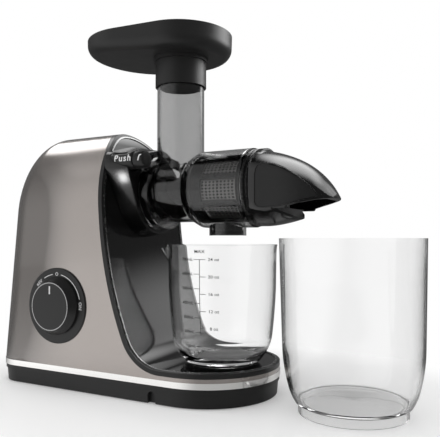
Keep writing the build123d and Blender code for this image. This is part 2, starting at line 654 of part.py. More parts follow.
def feed_tray():
    """The feed tray: a deep oval dish with a sloping floor and a collar round the tube."""
    dish = tray_form(0, 0, TRAY_ROUND_R)
    dish -= Pos(0, 0, 0.01) * tray_form(TRAY_WALL, TRAY_WALL, TRAY_ROUND_R - TRAY_WALL)
    dish += upright(TUBE_X, 0, COLLAR_LOW_Z, TRAY_FLOOR_Z + 1, COLLAR_R)
    dish += upright(TUBE_X, 0, TRAY_FLOOR_Z - 3.5, TRAY_FLOOR_Z + 1, COLLAR_R + 2.2)
    dish -= upright(TUBE_X, 0, COLLAR_LOW_Z - 1, TUBE_TOP_Z + 0.4, TUBE_R + 0.3)
    return dish - upright(TUBE_X, 0, COLLAR_LOW_Z, 360, TUBE_R - DRUM_WALL)


def side_arcs(points, inset=0.0):
    """A vessel's side: an arc through each three of its first points, then a straight run."""
    moved = [(r - inset, z) for r, z in points]
    arcs = [ThreePointArc(*moved[i:i + 3]) for i in range(0, 4, 2)]
    return arcs + [Line(moved[4], moved[5])]


def juice_jug():
    """The clear jug, with a flared rim, a small pouring lip and a round foot."""
    low, wall = RIM_Z + RIM_WIDTH + 0.12, JUG_WALL
    inner_side = [(JUG_SIDE[0][0], JUG_SIDE[0][1] + 3.4)] + list(JUG_SIDE[1:])
    flare, inner_flare = JUG_SIDE[-3:], [(r - wall, z) for r, z in JUG_SIDE[-3:]]
    rim = Line(flare[-1], inner_flare[-1])
    foot = Polyline((0, low + 1.2), (30, low + 1.2), (31.2, low), (33, low), JUG_SIDE[0])
    floor = Polyline((JUG_SIDE[0][0] - wall, inner_side[0][1]), (0, low + 5.6), (0, low + 1.2))
    jug = spun(0, 0, [foot, *side_arcs(JUG_SIDE), ThreePointArc(*flare), rim,
                      ThreePointArc(*inner_flare), *side_arcs(inner_side, wall), floor])
    rim_z = flare[-1][1]
    spout = Pos(51.3, 0, 136) * Rot(0, 14, 0) * Cone(2.2, 7.4, 22)
    below_rim = Pos(62, 0, rim_z - 15) * Box(40, 40, 30)
    jug += spout & (below_rim - upright(0, 0, 60, 160, 52.7))
    jug -= Pos(50.0, 0, 137) * Rot(0, 14, 0) * Cone(1.6, 6.6, 24)
    return Pos(JUG_X, JUG_Y, 0) * Rot(0, 0, 208) * jug


def pulp_container():
    """The tall clear container for the pulp, on a short foot ring."""
    inner_side = [(r, z + 2.6 - 0.02 * z) for r, z in BIN_SIDE[:-1]] + [BIN_SIDE[-1]]
    rim = Line(BIN_SIDE[-1], (BIN_SIDE[-1][0] - BIN_WALL, BIN_SIDE[-1][1]))
    foot = Polyline((0, 7.6), (46, 7.6), (46, 0), (48.4, 0), (48.4, 7.8), BIN_SIDE[0])
    floor = Polyline((inner_side[0][0] - BIN_WALL, inner_side[0][1]), (0, 10.8), (0, 7.6))
    return spun(BIN_X, BIN_Y, [foot, *side_arcs(BIN_SIDE), rim, *side_arcs(inner_side, BIN_WALL),
                               floor])


BUILDERS = (
    housing_shell, shell_trim, trim_bead, front_panel, drum_socket, chrome_band, base_skirt,
    bottom_cover, rubber_feet, cover_screws, dial_plate, knob, knob_ring, knob_spindle,
    rotary_switch, push_button, first_pinion, middle_gear, output_gear, middle_pin, gear_case,
    gear_cover, case_screws, output_shaft, front_bearing, shaft_seal, rear_bush, motor_can,
    stator_core, rotor_core, motor_shaft, cooling_fan, motor_cradle, control_board, cord_gland,
    juice_drum, strainer_frame, strainer_mesh, auger, outlet_seal, drum_gasket, pulp_cap,
    feed_tray, juice_jug, pulp_container)


def main():
    """Build every node, move it to the middle of the footprint and write it to parts/."""
    os.makedirs("parts", exist_ok=True)
    for build in BUILDERS:
        part = Pos(-MIDDLE_X, -MIDDLE_Y, 0) * build()
        export_step(part, "parts/" + build.__name__ + ".step")
    print(len(BUILDERS), "nodes, moved by", round(-MIDDLE_X, 3), round(-MIDDLE_Y, 3))


if __name__ == "__main__":
    main()
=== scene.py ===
# %% [markdown]
# # A cold press juicer, dressed for a studio picture
# The machine is already built as solids: a motor tower, a clear drum with an auger in it, a tray,
# a jug and a pulp container. This lesson gives every piece its finish, and makes again in mesh code
# the pieces whose look depends on soft edges, thin walls, holes or print.
# The solids come in as a fixed frame. Nothing in it is moved, so each new piece takes its place
# from the frame.

# %% Load the frame
from math import cos, hypot, pi, radians, sin

import bmesh
import bpy
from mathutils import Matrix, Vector
from mathutils.bvhtree import BVHTree


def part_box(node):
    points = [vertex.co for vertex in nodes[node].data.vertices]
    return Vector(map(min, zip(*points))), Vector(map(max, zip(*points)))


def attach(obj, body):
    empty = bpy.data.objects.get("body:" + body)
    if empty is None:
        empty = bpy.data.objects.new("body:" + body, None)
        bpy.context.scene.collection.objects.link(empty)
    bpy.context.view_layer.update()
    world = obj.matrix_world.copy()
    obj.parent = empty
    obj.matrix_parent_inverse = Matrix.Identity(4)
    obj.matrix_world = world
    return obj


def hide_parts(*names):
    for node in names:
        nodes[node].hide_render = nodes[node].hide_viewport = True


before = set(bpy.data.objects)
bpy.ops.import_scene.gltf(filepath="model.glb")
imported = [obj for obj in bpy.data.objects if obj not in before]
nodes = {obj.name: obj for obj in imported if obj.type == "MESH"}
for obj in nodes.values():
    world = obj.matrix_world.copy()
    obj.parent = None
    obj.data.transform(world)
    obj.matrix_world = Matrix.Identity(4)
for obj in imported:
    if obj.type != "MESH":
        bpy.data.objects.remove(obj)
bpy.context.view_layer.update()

# %% [markdown]
# ## Where things are
# The drawings of such a machine are made in millimetres, about the middle of its round front end.
# Blender works in metres, so one factor and one origin turn a drawn point into a place in the
# scene. The origin is read from the chrome band round the foot: its front is half a circle, so the
# middle of that circle lies half the band's width behind its foremost point.

# %% The drawing's origin
MM = 0.001


def low_high(name):
    """The lowest and highest corners of a node, in metres."""
    low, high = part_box(name)
    return Vector(low), Vector(high)


band_low, band_high = low_high("chrome_band")
half_band = (band_high.y - band_low.y) / 2
ORIGIN = Vector((band_high.x - half_band, band_high.y - half_band, 0))
mesh_low, mesh_high = low_high("strainer_mesh")
HEAD_Z = (mesh_low.z + mesh_high.z) / 2 / MM
print("origin in mm:", [round(v / MM, 2) for v in ORIGIN], "head axis height:", round(HEAD_Z, 2))

# %% [markdown]
# ## The camera
# A picture of a product is taken with a long lens from the height of the product, so that upright
# lines stay upright. This camera stands at about the height of the jug's rim and looks up by two
# degrees.

# %% Camera
CAMERA_PLACE = Vector((290.0, -515.7, 154.5)) * MM + ORIGIN
CAMERA_TURN = radians(28.23)        # from straight ahead towards the left
CAMERA_TILT = radians(2.03)         # above level
SENSOR_WIDTH = 36.0                 # mm
FOCAL_LENGTH = 46.82                # mm
NEAREST = 0.01                      # m: nothing closer than this is drawn

camera_data = bpy.data.cameras.new("camera")
camera_data.sensor_fit = "HORIZONTAL"
camera_data.sensor_width = SENSOR_WIDTH
camera_data.lens = FOCAL_LENGTH
camera_data.clip_start = NEAREST
camera = bpy.data.objects.new("camera", camera_data)
camera.location = CAMERA_PLACE
camera.rotation_euler = (radians(90) + CAMERA_TILT, 0, CAMERA_TURN)
bpy.context.scene.collection.objects.link(camera)
bpy.context.scene.camera = camera
print("camera at", [round(v, 3) for v in camera.location])

# %% [markdown]
# ## Colour and nodes
# Colours are written as the hex values that a designer would use on a screen. A renderer adds up
# light, so it needs linear values, and one function turns one into the other.
# A material is a small graph of nodes. One function adds a node, sets it up and links it, so that
# each material below reads as a list of what it is made of.

# %% Colour and node helpers
def srgb(code):
    """A hex colour such as #9c928e as linear red, green, blue and alpha."""
    parts = [int(code[i:i + 2], 16) / 255 for i in (1, 3, 5)]
    return [c / 12.92 if c <= 0.04045 else ((c + 0.055) / 1.055) ** 2.4 for c in parts] + [1.0]


def node(tree, kind, inputs=None, **settings):
    """Adds a node, sets what is named, and sets or links its inputs."""
    made = tree.nodes.new(kind)
    for name, value in settings.items():
        setattr(made, name, value)
    for name, value in (inputs or {}).items():
        if isinstance(value, bpy.types.NodeSocket):
            tree.links.new(value, made.inputs[name])
        else:
            made.inputs[name].default_value = value
    return made


def blank(name):
    """An empty material with an output node: returns the material, its tree and the output."""
    made = bpy.data.materials.new(name)
    made.use_nodes = True
    made.node_tree.nodes.clear()
    return made, made.node_tree, made.node_tree.nodes.new("ShaderNodeOutputMaterial")


def across(mm):
    """The scale of a pattern whose grains are this many millimetres across."""
    return 1 / (mm * MM)


print("taupe in linear light:", [round(c, 3) for c in srgb("#9c928e")])

# %% [markdown]
# ## The room
# The machine stands on a white sweep in soft light. What a studio shows in gloss is its lamps and
# the dark room between them, and that contrast is what makes black plastic and lacquer readable.
# Many real softboxes would do it, but they also brighten everything else. Instead the sky carries
# soft cards that only gloss shows: each is a direction, a size in degrees and a strength.

# %% Sky cards
SKY_MIRRORED = 0.14         # what gloss shows between the cards
CARDS = [                   # azimuth, elevation, inner and outer size in degrees, strength
    (154, 46, 10, 16, 3.0),         # long card behind, over the shell's arched top
    (-162, 45, 6, 20, 0.35),        # its faint edge, lower on the arch
    (-130, -2, 5, 64, 0.80),        # wide wall at the left, for the shell's side
    (63, 23, 9, 15, 1.5),           # small card at the right, for the concave front
    (81, 57, 11, 28, 4.2),          # roof card behind the beak
    (44, 38, 8, 17, 1.9),           # its lower end, for the beak's tip
]


def aim(azimuth, elevation):
    """The unit vector that points to an azimuth and an elevation in degrees."""
    turn, lift = radians(azimuth), radians(elevation)
    return (cos(lift) * cos(turn), cos(lift) * sin(turn), sin(lift))


world = bpy.data.worlds.new("studio_sky")
bpy.context.scene.world = world
world.use_nodes = True
sky = world.node_tree
sky.nodes.clear()
direction = node(sky, "ShaderNodeTexCoord").outputs["Generated"]
mirrored = SKY_MIRRORED
for azimuth, elevation, inner, outer, strength in CARDS:
    along = node(sky, "ShaderNodeVectorMath", {0: direction, 1: aim(azimuth, elevation)},
                 operation="DOT_PRODUCT")
    card = node(sky, "ShaderNodeMapRange",
                {"Value": along.outputs["Value"], "From Min": cos(radians(outer)),
                 "From Max": cos(radians(inner)), "To Max": strength},
                interpolation_type="SMOOTHSTEP")
    sum_of_cards = node(sky, "ShaderNodeMath", {0: card.outputs[0], 1: mirrored}, operation="ADD")
    mirrored = sum_of_cards.outputs[0]
print("sky cards:", len(CARDS))

# %% [markdown]
# What a ray has met on its way decides which sky it sees. A ray that comes straight from the
# camera, or only through clear plastic, sees a white backdrop, so no extra light falls on the
# object. After a matt surface it sees an even fill. After gloss it sees the cards, a little
# lighter where it has also been inside clear plastic. The ray's depths count what it has met, and
# they hold through clear walls, where the plain tests for a mirrored ray don't.

# %% Which sky a ray sees
SKY_FILL = 0.60             # what the sky adds to matt surfaces
CLEAR_GAIN = 0.20           # added for gloss inside clear plastic, which shows more of the room
SOME = 0.5                  # a depth is a whole number, so this parts none from one or more

rays = node(sky, "ShaderNodeLightPath")
bounces = node(sky, "ShaderNodeMath", {0: rays.outputs["Glossy Depth"],
                                       1: rays.outputs["Diffuse Depth"]}, operation="ADD")
untouched = node(sky, "ShaderNodeMath", {0: bounces.outputs[0], 1: SOME}, operation="LESS_THAN")
after_matt = node(sky, "ShaderNodeMath", {0: rays.outputs["Diffuse Depth"], 1: SOME},
                  operation="GREATER_THAN")
inside_clear = node(sky, "ShaderNodeMath", {0: rays.outputs["Transmission Depth"], 1: SOME},
                    operation="GREATER_THAN")
mirrored = node(sky, "ShaderNodeMath", {0: inside_clear.outputs[0], 1: CLEAR_GAIN,
                                        2: mirrored}, operation="MULTIPLY_ADD")
lit = node(sky, "ShaderNodeMix", {0: after_matt.outputs[0], 2: mirrored.outputs[0], 3: SKY_FILL})
strength = node(sky, "ShaderNodeMix", {0: untouched.outputs[0], 2: lit.outputs[0], 3: 1.0})
backdrop = node(sky, "ShaderNodeBackground", {"Color": srgb("#ffffff"),
                                              "Strength": strength.outputs[0]})
node(sky, "ShaderNodeOutputWorld", {"Surface": backdrop.outputs[0]})
print("sky nodes:", len(sky.nodes))

# %% [markdown]
# ## The sweep
# The floor is white card with a faint sheen. Close to the machine it takes the shadow and a soft
# reflection. Further out it fades into the backdrop, as a lit sweep does, so no horizon shows. A
# curved sheet could be modelled, but a flat plane with a fade in its material looks the same from
# every side.

# %% Floor plane
FLOOR_SIZE = 6.0            # m
FLOOR_DROP = 0.2            # mm below the feet, so that the two don't share a surface
FADE_CENTRE = (18, -10)     # mm from the drawing's origin

floor_mesh = bpy.data.meshes.new("floor")
corners = [(-1, -1, 0), (1, -1, 0), (1, 1, 0), (-1, 1, 0)]
floor_mesh.from_pydata([Vector(c) * FLOOR_SIZE / 2 for c in corners], [], [(0, 1, 2, 3)])
floor = bpy.data.objects.new("floor", floor_mesh)
floor.location = ORIGIN + Vector((*FADE_CENTRE, -FLOOR_DROP)) * MM
bpy.context.scene.collection.objects.link(floor)
print("floor:", FLOOR_SIZE, "m square")

# %% [markdown]
# In gloss the floor is dark, as in a real studio: there its card colour is a painted shade, a
# darker grey than the camera sees. Only one pool of light at the front left, which the shell's side
# mirrors, brightens it. The pool is a direction and two angles, like the sky's cards.
# Near the machine it is narrower and weaker. For the camera, and through clear plastic, the near
# floor is matt card with a faint glow of its own, which brings it up to the backdrop's white.

# %% Near floor
FLOOR_GLOW = 0.23           # added for the camera and glass, so that lit floor is near white
POOL_AZIMUTH = -129         # degrees: the lit floor at the front left
POOL_INNER = 14             # degrees from its middle, where it starts to fade
POOL_OUTER = 55             # degrees from its middle, where it has gone
POOL_FAR = 1.20             # its strength in gloss, far out
POOL_NEAR = 0.30            # and near the machine
POOL_NARROWING = 2.0        # a power, which makes the near pool narrower than the far one

paper, tree, out = blank("white_card_sweep")
rays = node(tree, "ShaderNodeLightPath")
gloss = node(tree, "ShaderNodeMath", {0: rays.outputs["Glossy Depth"], 1: SOME},
             operation="GREATER_THAN")
no_matt = node(tree, "ShaderNodeMath", {0: rays.outputs["Diffuse Depth"], 1: SOME},
               operation="LESS_THAN")
seen = node(tree, "ShaderNodeMath", {0: no_matt.outputs[0], 1: gloss.outputs[0]},
            operation="SUBTRACT", use_clamp=True)
# Painted shade: gloss sees the card in a darker grey than the camera does.
card_shaded_in_gloss = node(tree, "ShaderNodeMix", {0: gloss.outputs[0], 6: srgb("#dedede"), 7: srgb("#c4c4c4")},
            data_type="RGBA")
matt = node(tree, "ShaderNodeBsdfPrincipled", {"Base Color": card_shaded_in_gloss.outputs[2], "Roughness": 0.35,
                                               "Specular IOR Level": 0.3})
place = node(tree, "ShaderNodeTexCoord")
towards = node(tree, "ShaderNodeVectorMath", {0: place.outputs["Object"]}, operation="NORMALIZE")
along = node(tree, "ShaderNodeVectorMath", {0: towards.outputs[0], 1: aim(POOL_AZIMUTH, 0)},
             operation="DOT_PRODUCT")
pool = node(tree, "ShaderNodeMapRange",
            {"Value": along.outputs["Value"], "From Min": cos(radians(POOL_OUTER)),
             "From Max": cos(radians(POOL_INNER)), "To Min": SKY_MIRRORED, "To Max": POOL_FAR},
            interpolation_type="SMOOTHSTEP")
glow = node(tree, "ShaderNodeMath", {0: seen.outputs[0], 1: FLOOR_GLOW}, operation="MULTIPLY")
narrow = node(tree, "ShaderNodeMath", {0: pool.outputs[0], 1: POOL_NARROWING}, operation="POWER")
near_pool = node(tree, "ShaderNodeMath", {0: narrow.outputs[0], 1: POOL_NEAR},
                 operation="MULTIPLY")
near_light = node(tree, "ShaderNodeMix", {0: gloss.outputs[0], 2: glow.outputs[0],
                                          3: near_pool.outputs[0]})
own_light = node(tree, "ShaderNodeEmission", {"Strength": near_light.outputs[0]})
near = node(tree, "ShaderNodeAddShader", {0: matt.outputs[0], 1: own_light.outputs[0]})
print("pool of light towards", [round(v, 2) for v in aim(POOL_AZIMUTH, 0)])

# %% [markdown]
# The far floor is a plain emission, as white as the backdrop. The fade from near to far follows an
# ellipse round the machine, because the machine is longer than it is wide. Matt surfaces get no
# light from the far floor, so it doesn't wash out the undersides.

# %% Far floor and fade
FADE_RADII = (245, 172)     # mm, where the fade starts
FADE_WIDTH = 0.55           # the fade ends this much further out, as a share of the radii

far_light = node(tree, "ShaderNodeMix", {0: gloss.outputs[0], 2: 1.0, 3: pool.outputs[0]})
far = node(tree, "ShaderNodeEmission", {"Strength": far_light.outputs[0]})
shares = node(tree, "ShaderNodeVectorMath",
              {0: place.outputs["Object"],
               1: (1 / (FADE_RADII[0] * MM), 1 / (FADE_RADII[1] * MM), 0)}, operation="MULTIPLY")
out_by = node(tree, "ShaderNodeVectorMath", {0: shares.outputs[0]}, operation="LENGTH")
faded = node(tree, "ShaderNodeMapRange", {"Value": out_by.outputs["Value"], "From Min": 1.0,
                                          "From Max": 1.0 + FADE_WIDTH},
             interpolation_type="SMOOTHSTEP")
fade = node(tree, "ShaderNodeMath", {0: faded.outputs[0], 1: no_matt.outputs[0]},
            operation="MULTIPLY")
sweep = node(tree, "ShaderNodeMixShader", {0: fade.outputs[0], 1: near.outputs[0],
                                           2: far.outputs[0]})
tree.links.new(sweep.outputs[0], out.inputs["Surface"])
floor_mesh.materials.append(paper)
print("fade from", FADE_RADII, "mm, over", FADE_WIDTH, "of that")

# %% [markdown]
# ## Lamps
# Three large soft lamps light the matt surfaces from above, the right and the left. They don't
# show in gloss, where the sky's cards do that work. Two small ones come last: one draws the
# tray's rim, and one puts a round highlight on the pod beside the button. In a studio, flags keep
# the light of such a lamp off the rest. Here light linking does: it names the nodes that a lamp
# may light.

# %% Lamps
def softbox(name, place, target, size, watts, in_gloss=False, only_on=()):
    """An area lamp at a place in metres, turned to a target. The camera doesn't see it."""
    data = bpy.data.lights.new(name, "AREA")
    data.shape = "RECTANGLE"
    data.size, data.size_y = size
    data.energy = watts
    lamp = bpy.data.objects.new(name, data)
    lamp.location = Vector(place) + ORIGIN
    lamp.rotation_euler = (Vector(target) - Vector(place)).to_track_quat("-Z", "Y").to_euler()
    lamp.visible_camera = lamp.visible_transmission = False
    lamp.visible_glossy = in_gloss
    bpy.context.scene.collection.objects.link(lamp)
    if only_on:
        lamp.light_linking.receiver_collection = bpy.data.collections.new(name + "_lights")
        for lit_node in only_on:
            lamp.light_linking.receiver_collection.objects.link(nodes[lit_node])


softbox("overhead", (-0.10, -0.10, 1.25), target=(-0.05, 0, 0.15), size=(1.1, 0.9), watts=7.0)
softbox("right_side", (1.2, -0.75, 0.55), target=(0, 0, 0.15), size=(0.9, 1.1), watts=4.0)
softbox("left_side", (-1.3, -0.6, 0.7), target=(0, 0, 0.15), size=(0.6, 1.0), watts=3.0)
softbox("tray_rim", (0.37, 0.34, 0.50), target=(0, 0, 0.34), size=(0.36, 0.30), watts=2.3,
        in_gloss=True, only_on=("feed_tray",))
softbox("low_front", (-0.155, -0.385, 0.03), target=(-0.05, -0.04, 0.22), size=(0.07, 0.07),
        watts=0.42, in_gloss=True, only_on=("drum_socket",))

# %% [markdown]
# ## The view
# The standard view shows a colour about as it is written, so a swatch of plastic can be held
# against its hex value. A filmic view would grey the white sweep and lift the blacks.

# %% Colour management
bpy.context.scene.view_settings.view_transform = "Standard"
print("view:", bpy.context.scene.view_settings.view_transform)

# %% [markdown]
# ## Metallic lacquer on moulded ABS
# The shell is a big ABS moulding, sprayed with a taupe lacquer that holds fine aluminium flakes,
# under a thin clear coat. The flakes make the colour shift from dark to light as the surface
# turns. A metal shader with a low roughness gives that shift, a coat gives the sharper
# reflection on top, and a fine noise in the colour stands for the flakes. Real flakes are 0.03 mm,
# far too fine to show, so these are drawn at 0.8 mm.
# The real side is crowned: it turns gently backwards towards the rear corner. A crown of a few
# millimetres could be one more surface in the drawing, but only its light shows, so the shading
# normal leans back there instead.

# %% Leaning normals
CROWN_STARTS = -75          # mm along the machine, where the side stops being flat
CROWN_ENDS = -215           # mm, its rear
CROWN_LEAN = 0.72           # how far the normal leans there
CROWN_LOW = 30              # mm: the crown grows from this height
CROWN_HIGH = 170            # mm: to this one
CROWN_FOOT = 0.6            # its share at the foot of the shell
CROWN_FACING = 6.0          # a power: how soon the lean goes where the shell turns off the side


def leaning_normal(tree, lean, facing):
    """The normal, leant over on surfaces that face the side, less so where they turn from it."""
    normal = node(tree, "ShaderNodeNewGeometry").outputs["Normal"]
    parts = node(tree, "ShaderNodeSeparateXYZ", {0: normal})
    sideways = node(tree, "ShaderNodeMath", {0: parts.outputs["Y"]}, operation="ABSOLUTE")
    share = node(tree, "ShaderNodeMath", {0: sideways.outputs[0], 1: facing}, operation="POWER")
    lean = node(tree, "ShaderNodeVectorMath", {0: lean, "Scale": share.outputs[0]},
                operation="SCALE")
    leant = node(tree, "ShaderNodeVectorMath", {0: normal, 1: lean.outputs[0]}, operation="ADD")
    unit = node(tree, "ShaderNodeVectorMath", {0: leant.outputs[0]}, operation="NORMALIZE")
    return unit.outputs[0]


def crowned_normal(tree, position):
    """The normal of a side that curves backwards towards the rear."""
    parts = node(tree, "ShaderNodeSeparateXYZ", {0: position})
    back = node(tree, "ShaderNodeMapRange",
                {"Value": parts.outputs["X"], "From Min": CROWN_STARTS * MM + ORIGIN.x,
                 "From Max": CROWN_ENDS * MM + ORIGIN.x, "To Max": -CROWN_LEAN},
                interpolation_type="SMOOTHSTEP")
    height = node(tree, "ShaderNodeMapRange",
                  {"Value": parts.outputs["Z"], "From Min": CROWN_LOW * MM,
                   "From Max": CROWN_HIGH * MM, "To Min": CROWN_FOOT, "To Max": 1.0})
    grown = node(tree, "ShaderNodeMath", {0: back.outputs[0], 1: height.outputs[0]},
                 operation="MULTIPLY")
    lean = node(tree, "ShaderNodeCombineXYZ", {"X": grown.outputs[0]})
    return leaning_normal(tree, lean.outputs[0], CROWN_FACING)


print("the crown leans the normal back by", CROWN_LEAN, "at the rear")

# %% Metallic lacquer
FLAKE = 0.8                 # mm, drawn; a real one is 0.03 mm
FLAKE_DARK = 0.3            # the noise below this is the dark tone
FLAKE_LIGHT = 0.7           # and above this the light one


def metallic_lacquer():
    """Taupe flake lacquer under a clear coat."""
    made, tree, out = blank("metallic_lacquer_on_abs")
    place = node(tree, "ShaderNodeTexCoord").outputs["Object"]
    flakes = node(tree, "ShaderNodeTexNoise",
                  {"Vector": place, "Scale": across(FLAKE), "Detail": 1.0})
    colour = node(tree, "ShaderNodeValToRGB", {0: flakes.outputs["Fac"]})
    dark, light = colour.color_ramp.elements
    dark.position, dark.color = FLAKE_DARK, srgb("#99928e")
    light.position, light.color = FLAKE_LIGHT, srgb("#a19a95")
    crown = crowned_normal(tree, place)
    paint = node(tree, "ShaderNodeBsdfPrincipled",
                 {"Base Color": colour.outputs["Color"], "Metallic": 0.85, "Roughness": 0.22,
                  "Coat Weight": 0.8, "Coat Roughness": 0.07, "Normal": crown,
                  "Coat Normal": crown})
    tree.links.new(paint.outputs[0], out.inputs["Surface"])
    return made


def dress(made, *names):
    """Gives CAD nodes a finish."""
    for name in names:
        for slot in nodes[name].material_slots:
            slot.material = made
    print(made.name, "on", ", ".join(names))


dress(metallic_lacquer(), "housing_shell")

# %% [markdown]
# ## Moulded plastics
# ABS comes out of a polished tool as a black mirror, and out of a spark-eroded tool with a fine
# grain that scatters light. Both have the same colour and IOR, so what tells them apart is the
# roughness and a small bump. Each could be its own graph, but one function makes the whole family
# from those values. Wiping and handling leave any surface a little uneven, so a second function
# lets the roughness wander by a few percent.

# %% Moulded plastic
def uneven(tree, roughness, patch_mm, least, most, detail=3.0):
    """A roughness that wanders between two shares of its value, in patches of a size."""
    place = node(tree, "ShaderNodeTexCoord").outputs["Object"]
    patches = node(tree, "ShaderNodeTexNoise",
                   {"Vector": place, "Scale": across(patch_mm), "Detail": detail})
    rough = node(tree, "ShaderNodeMapRange",
                 {"Value": patches.outputs["Fac"], "To Min": roughness * least,
                  "To Max": roughness * most})
    return rough.outputs[0]


def moulded(name, colour, roughness, grain_mm=0.0, grain_height=0.0, ior=1.53, shine=0.5):
    """Opaque moulded plastic, with a grain of a size in millimetres where its tool had one."""
    made, tree, out = blank(name)
    rough = uneven(tree, roughness, patch_mm=14.0, least=0.92, most=1.1)
    body = node(tree, "ShaderNodeBsdfPrincipled",
                {"Base Color": srgb(colour), "Roughness": rough, "IOR": ior,
                 "Specular IOR Level": shine})
    if grain_mm:
        place = node(tree, "ShaderNodeTexCoord").outputs["Object"]
        grain = node(tree, "ShaderNodeTexNoise",
                     {"Vector": place, "Scale": across(grain_mm), "Detail": 2.0})
        bump = node(tree, "ShaderNodeBump", {"Height": grain.outputs["Fac"],
                                             "Distance": grain_height * MM, "Strength": 0.6})
        tree.links.new(bump.outputs[0], body.inputs["Normal"])
    tree.links.new(body.outputs[0], out.inputs["Surface"])
    return made


print("a grain of 0.8 mm has a scale of", across(0.8))

# %% Black plastics and rubber
# A polished tool: a black mirror, whose colour is all in what it reflects.
gloss_black = moulded("polished_black_abs", "#070707", roughness=0.07)
# A blasted tool: soft highlights, for parts that fingers turn or push.
satin_black = moulded("satin_black_abs", "#181818", roughness=0.30, shine=0.3)
# A spark-eroded tool: a visible grain that hides scratches.
grained_black = moulded("grained_black_abs", "#1a1a1a", roughness=0.42, grain_mm=0.9,
                        grain_height=0.05, shine=0.3)
# Polypropylene from the same kind of tool: flatter and a little greyer.
matt_black = moulded("matt_black_pp", "#1c1c1c", roughness=0.5, grain_mm=0.8, grain_height=0.04)
# Dyed nylon: the deepest black, with hardly a highlight, as it looks through a smoky wall.
deep_black = moulded("deep_black_nylon", "#050505", roughness=0.38, shine=0.1)
# Rubber: dull, with the widest and weakest highlight.
soft_rubber = moulded("moulded_black_rubber", "#161616", roughness=0.7, grain_mm=0.7,
                      grain_height=0.05, ior=1.50)
dress(gloss_black, "front_panel", "pulp_cap")
dress(satin_black, "shell_trim", "dial_plate", "knob", "push_button")
dress(grained_black, "feed_tray", "base_skirt")
dress(matt_black, "bottom_cover")
dress(deep_black, "strainer_frame", "auger")
dress(soft_rubber, "rubber_feet", "shaft_seal", "cord_gland", "outlet_seal", "drum_gasket")

# %% [markdown]
# ## The domed pod
# The pod that guides the push button is polished and softly domed, so it shows one round highlight
# and not a flat glare. Its solid is flat there. As on the shell's side, the dome is only in the
# shading normal: it leans away from the pod's middle, up to a limit.

# %% Domed pod
DOME_MIDDLE = (-69.0, -54.0, 212.0)     # mm
DOME_RADIUS = 75.0                      # mm
DOME_LIMIT = 0.45                       # the most that the normal leans
DOME_FACING = 4.0                       # a power: how soon the lean goes at the pod's sides


def set_normal(made, normal):
    """Links a normal to a material's shader."""
    shader = next(n for n in made.node_tree.nodes if n.type == "BSDF_PRINCIPLED")
    made.node_tree.links.new(normal, shader.inputs["Normal"])


domed_black = moulded("domed_black_abs", "#070707", roughness=0.19)
tree = domed_black.node_tree
place = node(tree, "ShaderNodeTexCoord").outputs["Object"]
lean = node(tree, "ShaderNodeVectorMath", {0: place, 1: Vector(DOME_MIDDLE) * MM + ORIGIN},
            operation="SUBTRACT")
lean = node(tree, "ShaderNodeVectorMath", {0: lean.outputs[0], "Scale": across(DOME_RADIUS)},
            operation="SCALE")
lean = node(tree, "ShaderNodeVectorMath", {0: lean.outputs[0], 1: (DOME_LIMIT,) * 3},
            operation="MINIMUM")
lean = node(tree, "ShaderNodeVectorMath", {0: lean.outputs[0], 1: (-DOME_LIMIT,) * 3},
            operation="MAXIMUM")
set_normal(domed_black, leaning_normal(tree, lean.outputs[0], DOME_FACING))
dress(domed_black, "drum_socket")

# %% [markdown]
# ## Metals
# The chrome band and the thin beads are plated ABS, the shafts and the strainer's sleeve are bare
# steel, the screws and the motor's can are zinc plated, and one bush is sintered bronze. A metal
# has no colour of its own under the reflection, so its base colour is what it does to a mirrored
# light, and its roughness tells plating from turning. Brushed lines could be added, but none of
# these is brushed.

# %% Metals
def metal(name, colour, roughness):
    """Solid or plated metal with a faint unevenness in its polish."""
    made, tree, out = blank(name)
    rough = uneven(tree, roughness, patch_mm=9.0, least=0.8, most=1.25)
    body = node(tree, "ShaderNodeBsdfPrincipled",
                {"Base Color": srgb(colour), "Metallic": 1.0, "Roughness": rough})
    tree.links.new(body.outputs[0], out.inputs["Surface"])
    return made


# Bright plate: the sharpest reflections on the machine.
chrome = metal("bright_chrome_plate", "#f2f1ef", 0.10)
# Satin plate: a grey line that never flashes.
satin_chrome = metal("satin_chrome_plate", "#9a9a9a", 0.26)
# Turned steel: a broad, slightly warm shine.
steel = metal("turned_steel", "#b9b7b4", 0.25)
# Zinc: cooler and duller than steel.
zinc = metal("zinc_plated_steel", "#aab0b3", 0.32)
# Sintered bronze: brown and dull, because it is full of pores that hold oil.
bronze = metal("sintered_bronze", "#a87e4f", 0.4)
dress(chrome, "chrome_band")
dress(satin_chrome, "trim_bead", "knob_ring")
dress(steel, "strainer_mesh", "output_shaft", "motor_shaft", "front_bearing", "knob_spindle",
      "middle_pin")
dress(zinc, "motor_can", "cover_screws", "case_screws")
dress(bronze, "rear_bush")

# %% [markdown]
# ## Inside the tower
# Nobody sees the drive, but a cutaway or a repair view does. The motor's cores are stacks of 0.5 mm
# steel sheets. Each sheet could be a solid, but bands across the axis are enough to say that the
# core is a stack, and they are drawn much wider, so that they show. The gears are milky nylon, the
# case is grey glass-filled nylon, and the board has a green solder mask.

# %% Drive
SHEET_BAND = 2 * pi         # mm from band to band, drawn; a real sheet is 0.5 mm
SHEET_STEP = 0.1            # mm, the depth of the bands
WAVE_RADIANS = 20           # what Blender's wave turns through in one unit at a scale of 1

sheets = metal("stacked_core_sheets", "#77736e", 0.42)
tree = sheets.node_tree
place = node(tree, "ShaderNodeTexCoord").outputs["Object"]
bands = node(tree, "ShaderNodeTexWave",
             {"Vector": place, "Scale": 2 * pi * across(SHEET_BAND) / WAVE_RADIANS},
             bands_direction="X")
bump = node(tree, "ShaderNodeBump", {"Height": bands.outputs["Fac"], "Distance": SHEET_STEP * MM})
set_normal(sheets, bump.outputs[0])
